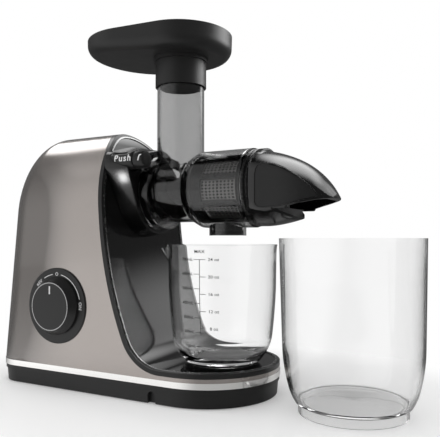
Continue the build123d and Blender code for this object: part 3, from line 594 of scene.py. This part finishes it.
# Nylon and its glass-filled kin scatter light just under the surface, so they look soft and dull.
nylon = moulded("milky_nylon", "#ddd9cc", roughness=0.38, grain_mm=0.8, grain_height=0.02)
case_grey = moulded("grey_glass_filled_nylon", "#55585b", roughness=0.45, grain_mm=0.6,
                    grain_height=0.03)
# Lacquer over copper tracks: a green sheen with a faint relief.
solder_mask = moulded("green_solder_mask", "#1e5b33", roughness=0.30, grain_mm=2.0,
                      grain_height=0.04)
# Pressed phenolic resin: brown, hard and dull.
switch_brown = moulded("brown_phenolic", "#3b2419", roughness=0.45, grain_mm=0.7,
                       grain_height=0.03)
fan_white = moulded("white_polypropylene", "#d3d4d2", roughness=0.40)
dress(sheets, "stator_core", "rotor_core")
dress(nylon, "first_pinion", "middle_gear", "output_gear")
dress(case_grey, "gear_case", "gear_cover", "motor_cradle")
dress(solder_mask, "control_board")
dress(switch_brown, "rotary_switch")
dress(fan_white, "cooling_fan")
print("materials so far:", len(bpy.data.materials))

# %% [markdown]
# ## Clear plastics
# The drum is moulded in a smoky copolyester, and the jug and the container in a clear styrene
# copolymer. Both come from polished tools, so they are smooth, and their walls show mostly at the
# edges, where light runs along them. A full glass shader does that. It also casts the dark shadow
# of a solid thing, because lamps don't find their way through it, so for shadow rays the wall is a
# plain tinted film, and what is inside is lit.

# %% Clear plastics
def clear_plastic(name, colour, roughness, ior, shine=0.5):
    """Clear moulded plastic that lets lamps through, so that what is behind it is lit."""
    made, tree, out = blank(name)
    body = node(tree, "ShaderNodeBsdfPrincipled",
                {"Base Color": srgb(colour), "Roughness": roughness, "IOR": ior,
                 "Specular IOR Level": shine, "Transmission Weight": 1.0})
    film = node(tree, "ShaderNodeBsdfTransparent", {"Color": srgb(colour)})
    rays = node(tree, "ShaderNodeLightPath")
    both = node(tree, "ShaderNodeMixShader", {0: rays.outputs["Is Shadow Ray"], 1: body.outputs[0],
                                              2: film.outputs[0]})
    tree.links.new(both.outputs[0], out.inputs["Surface"])
    return made


# The grey tint darkens what is behind each wall, and four walls in a row are nearly black.
smoky = clear_plastic("smoky_copolyester", "#c8c8c8", roughness=0.02, ior=1.46, shine=0.10)
# Next to no tint: only its edges and its highlights show.
clear = clear_plastic("clear_styrene_acrylonitrile", "#fdfdfd", roughness=0.01, ior=1.45)
dress(smoky, "juice_drum")
dress(clear, "juice_jug", "pulp_container")

# %% [markdown]
# ## From drawing to mesh
# Most small pieces of this machine are turned on an axis or are thin shapes that lie on a surface.
# Two helpers cover both: one joins rows of points by quads, the other takes a point drawn in
# millimetres to its place. A last one makes the mesh a piece: it names it, dresses it, lets it ride
# on a body of the frame, and hides the solid that it stands for.

# %% Mesh helpers
def at(x, y, z):
    """A drawn point in millimetres as a place in the scene."""
    return Vector((x, y, z)) * MM + ORIGIN


def around(count):
    """Angles that go once round."""
    return [2 * pi * i / count for i in range(count)]


def skin(bm, rows, closed=False):
    """Joins rings of points by quads, then fills the two ends or joins them to each other."""
    rings = [[bm.verts.new(point) for point in row] for row in rows]
    if closed:
        rings.append(rings[0])
    for a, b in zip(rings, rings[1:]):
        for i in range(len(a)):
            j = (i + 1) % len(a)
            bm.faces.new((a[i], a[j], b[j], b[i]))
    if not closed:
        bm.faces.new(rings[0])
        bm.faces.new(list(reversed(rings[-1])))


def piece(name, bm, made, body, slot, *stands_for, sharp=40):
    """Makes a bmesh a piece of the machine. Edges over the sharp angle in degrees stay crisp."""
    bmesh.ops.recalc_face_normals(bm, faces=bm.faces)
    mesh = bpy.data.meshes.new(name)
    bm.to_mesh(mesh)
    bm.free()
    mesh.materials.append(made)
    mesh.shade_smooth()
    mesh.set_sharp_from_angle(angle=radians(sharp))
    thing = bpy.data.objects.new(name, mesh)
    bpy.context.scene.collection.objects.link(thing)
    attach(thing, body)
    if stands_for:
        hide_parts(*stands_for)
    print(name, "faces:", len(mesh.polygons))


print("the head's axis is above", [round(v, 4) for v in at(0, 0, 0)])

# %% [markdown]
# ## Print
# White and grey markings are pad-printed or hot-stamped films. A decal image could carry them, but
# thin solid shapes stay sharp from close by. Text comes from Blender's own font, and each shape is
# drawn flat and then laid on its surface by a place function, which takes the distances along and
# up the surface and the height above it, all in millimetres.

# %% Print helpers
FILM = 0.15                 # mm, the thickness of a print; a real one is 0.02 mm
SPLIT_ROUNDS = 5            # enough to cut the longest edge of a letter to a millimetre


def strip(bm, path, width, place):
    """A printed line of a width along drawn points."""
    rows = []
    for i, (u, v) in enumerate(path):
        u0, v0 = path[max(i - 1, 0)]
        u1, v1 = path[min(i + 1, len(path) - 1)]
        length = hypot(u1 - u0, v1 - v0)
        side_u, side_v = -(v1 - v0) / length * width / 2, (u1 - u0) / length * width / 2
        rows.append([place(u + side_u, v + side_v, 0), place(u - side_u, v - side_v, 0),
                     place(u - side_u, v - side_v, FILM), place(u + side_u, v + side_v, FILM)])
    skin(bm, rows)


def split_edges(bm, longest):
    """Halves the edges over a length, so that a flat face can follow a curved surface."""
    for _ in range(SPLIT_ROUNDS):
        long_edges = [edge for edge in bm.edges if edge.calc_length() > longest]
        if long_edges:
            bmesh.ops.subdivide_edges(bm, edges=long_edges, cuts=1)
            bmesh.ops.triangulate(bm, faces=bm.faces)


def letters(bm, text, size, place, weight=0.01, spacing=1.0, longest=None):
    """A line of text, centred on the place function's zero point."""
    line = bpy.data.curves.new("line_of_text", "FONT")
    line.body, line.size, line.offset = text, size, weight * size
    line.align_x, line.align_y, line.space_character = "CENTER", "CENTER", spacing
    line.extrude, line.resolution_u = FILM / 2, 3
    holder = bpy.data.objects.new("line_of_text", line)
    mesh = bpy.data.meshes.new_from_object(holder)
    flat = bmesh.new()
    flat.from_mesh(mesh)
    if longest:
        split_edges(flat, longest)
    for vert in flat.verts:
        vert.co = place(vert.co.x, vert.co.y, vert.co.z + FILM / 2)
    flat.to_mesh(mesh)
    flat.free()
    bm.from_mesh(mesh)
    bpy.data.objects.remove(holder)
    bpy.data.curves.remove(line)
    bpy.data.meshes.remove(mesh)


print("film:", FILM, "mm")

# %% Inks
def print_film(name, colour, roughness=0.5):
    """Printed ink: a matt colour with a slightly uneven cover."""
    made, tree, out = blank(name)
    rough = uneven(tree, roughness, patch_mm=1.5, least=0.85, most=1.15, detail=2.0)
    ink = node(tree, "ShaderNodeBsdfPrincipled", {"Base Color": srgb(colour), "Roughness": rough})
    tree.links.new(ink.outputs[0], out.inputs["Surface"])
    return made


# White on black plastic is a little greyer than paper, because the black shows through.
white_ink = print_film("white_pad_print", "#dfdfdf")
# Dark grey on the clear jug, thin enough to look softer than black.
grey_ink = print_film("grey_pad_print", "#202120")
print("inks:", white_ink.name, grey_ink.name)

# %% [markdown]
# ## The push button
# The button that unlocks the drum is a short barrel with a domed end. Fine ribs on its top and
# underside give a grip, and the front stays smooth for its label. The ribs could be a bump, but
# they break the outline, so they are in the mesh: every second ring of points is a little lower
# where the thumb rests.

# %% Push button
BUTTON_Y = -50.5
BUTTON_Z = 233.5
BUTTON_R = 8.95
BUTTON_POINTS = 72          # round the barrel
DOMED_END = [(-85.2, 3.0), (-85.05, 5.4), (-84.3, 7.3), (-82.9, 8.5), (-81.4, BUTTON_R)]
OTHER_END = [(-60.8, BUTTON_R), (-55.9, BUTTON_R), (-55.0, 8.4), (-54.7, 7.6), (-54.6, 3.0)]
RIBS_FROM = -80.6
RIB_PITCH = 1.3             # mm from rib to rib
RIB_DEPTH = 0.45            # mm
RIB_RINGS = 29              # two for each rib, and one more
RIB_SINE = 0.62             # the ribs start where the barrel's side has turned up or down by this
RIB_BLEND = 0.12            # and have their full depth this much further on


def barrel(along, radius, angle):
    """A point on a barrel that lies along x. Angle 0 faces the front and grows upwards."""
    return at(along, BUTTON_Y - radius * cos(angle), BUTTON_Z + radius * sin(angle))


def barrel_ring(along, radius, count):
    """A ring of points round the barrel."""
    return [barrel(along, radius, angle) for angle in around(count)]


def rib_share(angle):
    """1 where the barrel is ribbed, 0 where it is smooth."""
    return min(max((abs(sin(angle)) - RIB_SINE) / RIB_BLEND, 0), 1)


rows = [barrel_ring(x, r, BUTTON_POINTS) for x, r in DOMED_END]
for i in range(RIB_RINGS):
    x, low = RIBS_FROM + i * RIB_PITCH / 2, RIB_DEPTH * (i % 2)
    rows.append([barrel(x, BUTTON_R - low * rib_share(t), t) for t in around(BUTTON_POINTS)])
rows += [barrel_ring(x, r, BUTTON_POINTS) for x, r in OTHER_END]
bm = bmesh.new()
skin(bm, rows)
piece("push_button_barrel", bm, satin_black, "push_button", "button_black", "push_button",
      sharp=50)

# %% [markdown]
# The label is stamped on the barrel's front, turned up a little, because it is read from above.
# Letters that are only moved to the surface sink into a round barrel between their points, so
# their long edges are split first.

# %% Button's label
def barrel_label(middle, radius, lift):
    """A place function on a barrel's front, turned up by some degrees."""
    def place(u, v, w):
        return barrel(middle + u, radius + w, radians(lift) + v / radius)
    return place


bm = bmesh.new()
letters(bm, "Push", size=9.6, place=barrel_label(-66.0, BUTTON_R, lift=10), weight=0.015,
        spacing=1.2, longest=1.0)
piece("push_button_label", bm, white_ink, "push_button", "button_black")

# %% [markdown]
# ## The drum's lug
# A lug on the drum carries the button's barrel on, and a printed mark shows where the two have to
# meet. The lug itself is part of the clear moulding, and a black cap covers it. The cap could be
# cut out of the drum's solid, but as a turned piece of its own it gets its own colour and softer
# edges. The mark has more points than its shape needs, so that it follows the barrel.

# %% Drum lug
LUG_R = 8.75
LUG_POINTS = 64
LUG_PROFILE = [(-54.25, 3.0), (-54.2, 8.2), (-53.7, LUG_R), (-43.6, LUG_R), (-42.7, 8.2),
               (-42.3, 6.9), (-42.2, 3.0)]
MARK_STEM = [(0.23 * i - 1.4, 0.98 * i - 3.0) for i in range(7)]
MARK_HOOK = [(0.0, 2.9), (1.9, 2.6)]

bm = bmesh.new()
skin(bm, [barrel_ring(x, r, LUG_POINTS) for x, r in LUG_PROFILE])
piece("drum_lug_cap", bm, satin_black, "drum", "button_black")
lug_label = barrel_label(-45.6, LUG_R, lift=9)
bm = bmesh.new()
strip(bm, MARK_STEM, width=1.3, place=lug_label)
strip(bm, MARK_HOOK, width=1.2, place=lug_label)
piece("drum_lug_mark", bm, white_ink, "drum", "button_black")

# %% [markdown]
# ## The dial
# Behind the knob sits a round plate with the three positions, joined by two thin arcs that show
# which way it turns. The knob itself carries one white bar. The words could stand upright, but
# these follow the circle, as they do on a dial that is printed flat and read all round.

# %% Dial print
DIAL_X = -138.65
DIAL_Z = 85.7
MARK_R = 32.3               # mm, the circle that the words and the arcs follow
WORDS = [("O", 89), ("ON", 2), ("REV", 136)]    # and how many degrees round the dial they are
WORD_SIZE = 5.0             # mm
ARCS = [(14, 79), (99, 121)]                    # degrees
ARC_STEPS = 16
ARC_WIDTH = 0.75            # mm
POINTER = [(0, 12.6), (0, 16.5), (0, 20.6)]     # mm from the knob's middle
POINTER_WIDTH = 1.7         # mm
plate_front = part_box("dial_plate")[0].y
knob_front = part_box("knob")[0].y


def on_front(front, x, z, w):
    """A drawn point on a flat front, this far above it."""
    spot = at(x, 0, z)
    spot.y = front - w * MM
    return spot


def dial_ring(degrees_round):
    """A place function on the plate: u goes clockwise round the dial, v goes outwards."""
    def place(u, v, w):
        angle, r = radians(degrees_round) - u / MARK_R, MARK_R + v
        return on_front(plate_front, DIAL_X + r * cos(angle), DIAL_Z + r * sin(angle), w)
    return place


def knob_face(u, v, w):
    """On the flat front of the knob."""
    return on_front(knob_front, DIAL_X + u, DIAL_Z + v, w)


print("plate and knob fronts in mm:", round(plate_front / MM, 2), round(knob_front / MM, 2))

# %% Words, arcs and pointer
bm = bmesh.new()
for word, angle in WORDS:
    letters(bm, word, WORD_SIZE, dial_ring(angle))
for start, end in ARCS:
    turns = [radians(start + (end - start) * i / ARC_STEPS) for i in range(ARC_STEPS + 1)]
    strip(bm, [(-turn * MARK_R, 0) for turn in turns], ARC_WIDTH, dial_ring(0))
piece("dial_print", bm, white_ink, "base", "dial_black")
bm = bmesh.new()
strip(bm, POINTER, POINTER_WIDTH, knob_face)
piece("knob_pointer", bm, white_ink, "knob", "knob_black")

# %% [markdown]
# ## The strainer's mesh
# Juice leaves the strainer through a steel sleeve with thousands of punched holes, about half a
# millimetre wide. Holes that fine would turn into plain grey, so they are drawn at four by three
# millimetres, which still reads as a perforated sheet. A pattern in the material could fake them,
# but these are real openings: each cell of the sheet is a frame of eight quads round a hole,
# outside and inside, joined by the hole's wall.

# %% One cell of the sleeve
SLEEVE_FROM_X = 4.3
SLEEVE_TO_X = 49.7
SLEEVE_OUT_R = 31.42
SLEEVE_IN_R = 31.0
CELLS_ALONG = 11
CELLS_ROUND = 64
HOLE_SHARE = 0.34           # the hole's half width as a share of its cell
CELL_RIM = [(0, 0), (0.5, 0), (1, 0), (1, 0.5), (1, 1), (0.5, 1), (0, 1), (0, 0.5)]
REAR_EDGE = (6, 7)          # the rim's two edges at the cell's rear
FRONT_EDGE = (2, 3)         # and at its front
WELD = 0.00001              # m, points closer than this become one


def sleeve_point(i, j, r):
    """A point of the sleeve: i cells along it, j cells round it."""
    angle = 2 * pi * j / CELLS_ROUND
    return at(SLEEVE_FROM_X + (SLEEVE_TO_X - SLEEVE_FROM_X) * i / CELLS_ALONG,
              -r * cos(angle), HEAD_Z + r * sin(angle))


def cell_face(bm, i, j, r):
    """One side of a cell: its outer ring of points, the ring round its hole, and the quads."""
    outer = [bm.verts.new(sleeve_point(i + a, j + b, r)) for a, b in CELL_RIM]
    inner = []
    for a, b in CELL_RIM:
        reach = HOLE_SHARE / hypot(a - 0.5, b - 0.5)
        inner.append(bm.verts.new(sleeve_point(i + 0.5 + (a - 0.5) * reach,
                                               j + 0.5 + (b - 0.5) * reach, r)))
    for k in range(len(CELL_RIM)):
        n = (k + 1) % len(CELL_RIM)
        bm.faces.new((outer[k], outer[n], inner[n], inner[k]))
    return outer, inner


print("holes:", CELLS_ALONG * CELLS_ROUND)

# %% Perforated sleeve
bm = bmesh.new()
for i in range(CELLS_ALONG):
    for j in range(CELLS_ROUND):
        (outer, hole), (outer_in, hole_in) = [cell_face(bm, i, j, r)
                                              for r in (SLEEVE_OUT_R, SLEEVE_IN_R)]
        # The sleeve's thickness shows in its holes and at its two ends.
        ends = REAR_EDGE if i == 0 else FRONT_EDGE if i == CELLS_ALONG - 1 else ()
        for k in range(len(CELL_RIM)):
            n = (k + 1) % len(CELL_RIM)
            bm.faces.new((hole[k], hole[n], hole_in[n], hole_in[k]))
            if k in ends:
                bm.faces.new((outer[k], outer[n], outer_in[n], outer_in[k]))
bmesh.ops.remove_doubles(bm, verts=bm.verts, dist=WELD)
# Punching leaves the sheet dull, so it is rougher than turned steel.
sleeve_steel = metal("punched_stainless_steel", "#979694", 0.45)
piece("perforated_sleeve", bm, sleeve_steel, "drum", "mesh_steel", "strainer_mesh")

# %% [markdown]
# ## The end cap
# The cap is a polished moulding: a ring, a trough and a hood that ends in a beak. The pulp leaves
# between the trough and the hood. The solid already has the right body, so modelling it again
# would only risk a worse fit. The piece copies its mesh and trims the mouth: a wedge under the
# beak leaves a thin lip that overhangs, and a cut at each side makes the trough round in plan.

# %% Cutting tools
def cutter(rows):
    """A solid between two outlines, to cut with."""
    bm = bmesh.new()
    skin(bm, rows)
    bmesh.ops.recalc_face_normals(bm, faces=bm.faces)
    mesh = bpy.data.meshes.new("cutter")
    bm.to_mesh(mesh)
    bm.free()
    return bpy.data.objects.new("cutter", mesh)


def trimmed(name, *cutters):
    """A bmesh of a node's mesh with the cutters taken away."""
    holder = bpy.data.objects.new("holder", nodes[name].data.copy())
    bpy.context.scene.collection.objects.link(holder)
    for tool in cutters:
        bpy.context.scene.collection.objects.link(tool)
        cut = holder.modifiers.new("cut", "BOOLEAN")
        cut.operation, cut.object, cut.solver = "DIFFERENCE", tool, "EXACT"
    bpy.context.view_layer.update()
    result = bpy.data.meshes.new_from_object(
        holder.evaluated_get(bpy.context.evaluated_depsgraph_get()))
    bm = bmesh.new()
    bm.from_mesh(result)
    for thing in (holder, *cutters):
        bpy.data.meshes.remove(thing.data)
    bpy.data.meshes.remove(result)
    return bm


print("faces of the cap's solid:", len(nodes["pulp_cap"].data.polygons))

# %% Beaked cap
BEAK_CUT = [(97, 150), (98.5, 173.5), (100.5, 181), (103, 184.6), (112, 186.9), (125, 189.6),
            (137, 191.5), (150, 193.5), (150, 150)]     # x and z of the wedge under the beak
CUT_HALF = 60               # mm, wider than the cap
MOUTH_X = 98.6              # the front of the trough
MOUTH_BACK = 11.0           # mm, how far its sides fall back
MOUTH_FLAT = 10.0           # mm each side of the middle that stay straight
MOUTH_SPREAD = 27           # mm from there, over which the sides fall back
MOUTH_LOW = 150
MOUTH_TOP = 182.2
PLAN_Y = (8, *range(12, 40, 3))     # mm from the middle, along each side's cut
PLAN_FRONT = 150            # in front of all that is cut away


def mouth_x(y, front=MOUTH_X):
    """How far forward the trough reaches: its front is round in plan."""
    return front - MOUTH_BACK * (max(abs(y) - MOUTH_FLAT, 0) / MOUTH_SPREAD) ** 2


cutters = [cutter([[at(x, y, z) for x, z in BEAK_CUT] for y in (-CUT_HALF, CUT_HALF)])]
for side in (-1, 1):
    plan = [(mouth_x(y), y * side) for y in PLAN_Y]
    plan += [(PLAN_FRONT, PLAN_Y[-1] * side), (PLAN_FRONT, PLAN_Y[0] * side)]
    cutters.append(cutter([[at(x, y, z) for x, y in plan] for z in (MOUTH_LOW, MOUTH_TOP)]))
bm = trimmed("pulp_cap", *cutters)
bm.normal_update()
cap_surface = BVHTree.FromBMesh(bm)
# Polished less finely than the front panel, so its highlights are a little softer.
cap_black = moulded("semi_gloss_black_abs", "#070707", roughness=0.17)
piece("beaked_cap", bm, cap_black, "pulp_cap", "gloss_black", "pulp_cap", sharp=28)

# %% [markdown]
# ## The trough's front wall
# Trimming leaves the trough open at its front. On the real cap a wall closes it, and its upper
# edge dips a little in the middle, where the pulp slides over it. It could be cut from the solid,
# but a round front is simpler as one thin sheet: the wall's outline, bent to the trough's curve.

# %% Trough's front wall
WALL_X = 98.4
WALL_THICK = 1.6            # mm
WALL_HALF = 35.6            # mm, half its width
WALL_LOW = 173.4            # its lower edge in the middle
WALL_SIDE = 182.2           # its lower edge at the sides
WALL_TOP = 183.6            # its upper edge at the sides
WALL_DIP = 1.2              # mm, how much lower that edge is in the middle
WALL_STEPS = 12             # points to each side of the middle

steps = [-1 + i / WALL_STEPS for i in range(2 * WALL_STEPS + 1)]
outline = [(WALL_HALF * t, WALL_LOW + (WALL_SIDE - WALL_LOW) * t * t) for t in steps]
outline += [(WALL_HALF * t, WALL_TOP - WALL_DIP * (1 - t * t)) for t in reversed(steps)]
bm = bmesh.new()
skin(bm, [[at(mouth_x(y, x), y, z) for y, z in outline] for x in (WALL_X - WALL_THICK, WALL_X)])
# The same black ABS as the cap, seen edge on in the light of the mouth: its colour is a painted
# lighter grey that stands for that light. It is also duller than the cap's outside.
wall_painted_lit_grey = moulded("satin_abs_painted_lit_grey", "#404040", roughness=0.35, shine=0.4)
piece("trough_front_wall", bm, wall_painted_lit_grey, "pulp_cap", "gloss_black")

# %% [markdown]
# ## The cap's matt sides
# The two flat sides of the cap are matt, with a fine raised edge, because a thumb and a finger turn
# it there. A second material on the same mesh would need its faces cut to the outline. Instead
# each side is a thin patch that rays lay on the cap, point by point, and a round bead runs along
# the patch's edge.

# %% Patch on the cap
SIDE_TOP = [(69.6, 214), (70.6, 219), (73, 222.4), (78, 223.9), (88, 222.6), (100, 217.4),
            (110, 210.8), (118, 204), (123.5, 198), (126.5, 193.5)]
SIDE_LOW = [(69.6, 188), (70.8, 185.4), (73, 183.8), (78, 183.2), (90, 183.9), (97, 185.2),
            (103, 186.6), (112, 188.9), (118, 190.2), (123.5, 191.6), (126.5, 192.6)]
COLUMNS = 48                # of quads along the patch
ROWS = 16                   # of quads up the patch
PATCH_PROUD = 0.28          # mm, the patch's outer sheet: just above the cap's surface
PATCH_SUNK = -0.5           # mm, its inner sheet: below that surface, so no gap shows
RAYS_FROM = 70              # mm from the middle, outside the cap


def height_at(line, x):
    """The height of a drawn line at x."""
    for (x0, z0), (x1, z1) in zip(line, line[1:]):
        if x <= x1 + 1e-6:
            return z0 + (z1 - z0) * (x - x0) / (x1 - x0)
    return line[-1][1]


def on_cap(x, z, side, proud):
    """The cap's side at x and z, this far above its surface."""
    hit = cap_surface.ray_cast(at(x, RAYS_FROM * side, z), Vector((0, -side, 0)))[0]
    if hit is None:
        raise ValueError(f"no cap at x {x:.1f}, z {z:.1f}")
    return hit + Vector((0, side, 0)) * proud * MM


def patch_sheet(bm, side, proud):
    """One sheet over a side: makes its points and quads, and returns its columns of points."""
    first, last = SIDE_TOP[0][0], SIDE_TOP[-1][0]
    sheet = []
    for i in range(COLUMNS + 1):
        x = first + (last - first) * (i / COLUMNS)
        low, top = height_at(SIDE_LOW, x), height_at(SIDE_TOP, x)
        sheet.append([bm.verts.new(on_cap(x, low + (top - low) * k / ROWS, side, proud))
                      for k in range(ROWS + 1)])
    for a, b in zip(sheet, sheet[1:]):
        for k in range(ROWS):
            bm.faces.new((a[k], a[k + 1], b[k + 1], b[k]))
    return sheet


def sheet_edge(sheet):
    """The points round a sheet, in order."""
    edge = [column[0] for column in sheet] + sheet[-1][1:]
    edge += [column[-1] for column in reversed(sheet[:-1])]
    return edge + list(reversed(sheet[0][1:-1]))


print("patch:", COLUMNS, "by", ROWS, "quads")

# %% Matt sides of the cap
BEAD_R = 0.55               # mm


def bead(name, points):
    """A round bead along a closed line, which rides on the cap."""
    curve = bpy.data.curves.new(name, "CURVE")
    curve.dimensions, curve.bevel_depth, curve.bevel_resolution = "3D", BEAD_R * MM, 3
    line = curve.splines.new("POLY")
    line.points.add(len(points) - 1)
    for point, place in zip(line.points, points):
        point.co = (*place, 1)
    line.use_cyclic_u = True
    curve.materials.append(gloss_black)
    thing = bpy.data.objects.new(name, curve)
    bpy.context.scene.collection.objects.link(thing)
    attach(thing, "pulp_cap")
    print(name, "points:", len(points))


# A spark-eroded tool again: no mirror at all, so the flat side reads as one dark tone.
matt_side = moulded("spark_eroded_black_abs", "#1c1c1c", roughness=0.48, grain_mm=0.7,
                    grain_height=0.03, shine=0.3)
for side, word in ((-1, "near"), (1, "far")):
    bm = bmesh.new()
    outer, inner = [sheet_edge(patch_sheet(bm, side, proud))
                    for proud in (PATCH_PROUD, PATCH_SUNK)]
    for i in range(len(outer)):
        j = (i + 1) % len(outer)
        bm.faces.new((outer[i], outer[j], inner[j], inner[i]))
    edge_points = [vert.co.copy() for vert in outer]
    piece(f"cap_matt_side_{word}", bm, matt_side, "pulp_cap", "gloss_black")
    bead(f"cap_ridge_{word}", edge_points)

# %% [markdown]
# ## The juice outlet
# A rubber sleeve plugs the outlet. It has a thick black foot and, above it, fine upright ribs that
# seal against the clear wall. A bump could draw the ribs, but they show in outline through the
# wall, so each ring of the sleeve is drawn with its ribs.

# %% Outlet sleeve
OUTLET_X = 22.2
RIBS = 18
POINTS_PER_RIB = 8
OUTLET_ROWS = [             # height, radius and height of the ribs, all in mm
    (158.7, 9.6, 0), (158.3, 15.2, 0), (158.8, 16.0, 0),            # underside of the foot
    (162.6, 16.0, 0), (163.1, 15.4, 0),                             # its side and top edge
    (163.4, 14.4, 0.7), (169.4, 14.2, 0.7),                         # ribbed wall
    (170.0, 13.4, 0), (170.0, 9.6, 0),                              # upper end
]


def outlet_ring(z, radius, rib):
    """One ring of the sleeve."""
    ring = []
    for angle in around(RIBS * POINTS_PER_RIB):
        r = radius + rib * cos(RIBS * angle)
        ring.append(at(OUTLET_X + r * cos(angle), r * sin(angle), z))
    return ring


bm = bmesh.new()
skin(bm, [outlet_ring(*row) for row in OUTLET_ROWS], closed=True)
piece("outlet_sleeve", bm, soft_rubber, "drum", "seal_black", "outlet_seal")

# %% [markdown]
# ## The jug's scale
# A scale is printed on the jug's front: millilitres at the left of an upright line and ounces at
# its right, up to a MAX mark. The wall widens upwards and curves in at the bottom, so a print bent
# to a plain cylinder would leave it. Instead a ray from outside lays each point on the wall.

# %% Jug's wall
JUG_X = 19.2
JUG_Y = -6.3
JUG_R = 46.0                # mm: turns widths into angles, a little under the wall's 48 to 54
SCALE_AZIMUTH = -85.0       # degrees, where the scale's upright line is
SCALE_TOP_Z = 135.4
LINE_POINTS = 36            # down the upright line
LINE_STEP = 2.0             # mm from one to the next
MAX_LIFT = 7.2              # mm from the top mark up to the word MAX
MAX_SIZE = 4.2              # mm
ML_STEP = 13.45             # mm for 100 mL
OZ_STEP = 15.9              # mm for 4 oz
TEXT_OFFSET = 11.5          # mm from the line to the middle of a number
TEXT_SIZE = 4.0             # mm
TICK = 5.0                  # mm
INK_WIDTH = 0.5             # mm
OUTSIDE = 0.1               # m, far enough from the jug's middle for a ray to start
jug_tree = BVHTree.FromPolygons([v.co for v in nodes["juice_jug"].data.vertices],
                                [p.vertices[:] for p in nodes["juice_jug"].data.polygons])


def jug_wall(middle_u, z):
    """A place function on the jug's outer wall, at a height."""
    def place(u, v, w):
        angle = radians(SCALE_AZIMUTH) + (middle_u + u) / JUG_R
        outward = Vector((cos(angle), sin(angle), 0))
        start = at(JUG_X, JUG_Y, z + v) + outward * OUTSIDE
        hit = jug_tree.ray_cast(start, -outward)[0]
        return hit + outward * w * MM
    return place


top_mark = jug_wall(0, SCALE_TOP_Z)(0, 0, 0)
wall_radius = (top_mark - at(JUG_X, JUG_Y, SCALE_TOP_Z)).length
print("wall at the top mark:", round(wall_radius / MM, 1), "mm from the jug's middle")

# %% Scale's print
def graduation(bm, side, text, z):
    """A number and its tick, at the left of the line (-1) or at its right (1)."""
    letters(bm, text, TEXT_SIZE, jug_wall(side * TEXT_OFFSET, z))
    tick = sorted((side * TICK * share, 0) for share in (0, 0.5, 1))
    strip(bm, tick, INK_WIDTH, jug_wall(0, z))


bm = bmesh.new()
letters(bm, "MAX", MAX_SIZE, jug_wall(0, SCALE_TOP_Z + MAX_LIFT))
strip(bm, [(0, -i * LINE_STEP) for i in range(LINE_POINTS)], INK_WIDTH, jug_wall(0, SCALE_TOP_Z))
for i, millilitres in enumerate(range(700, 0, -100)):
    graduation(bm, -1, f"{millilitres}mL", SCALE_TOP_Z - i * ML_STEP)
for i, ounces in enumerate(range(24, 4, -4)):
    graduation(bm, 1, f"{ounces} oz", SCALE_TOP_Z - i * OZ_STEP)
piece("jug_scale", bm, grey_ink, "juice_jug", "clear_jug")

# %% [markdown]
# ## Update
# The view layer is brought up to date once more, after the last piece.


bpy.context.view_layer.update()
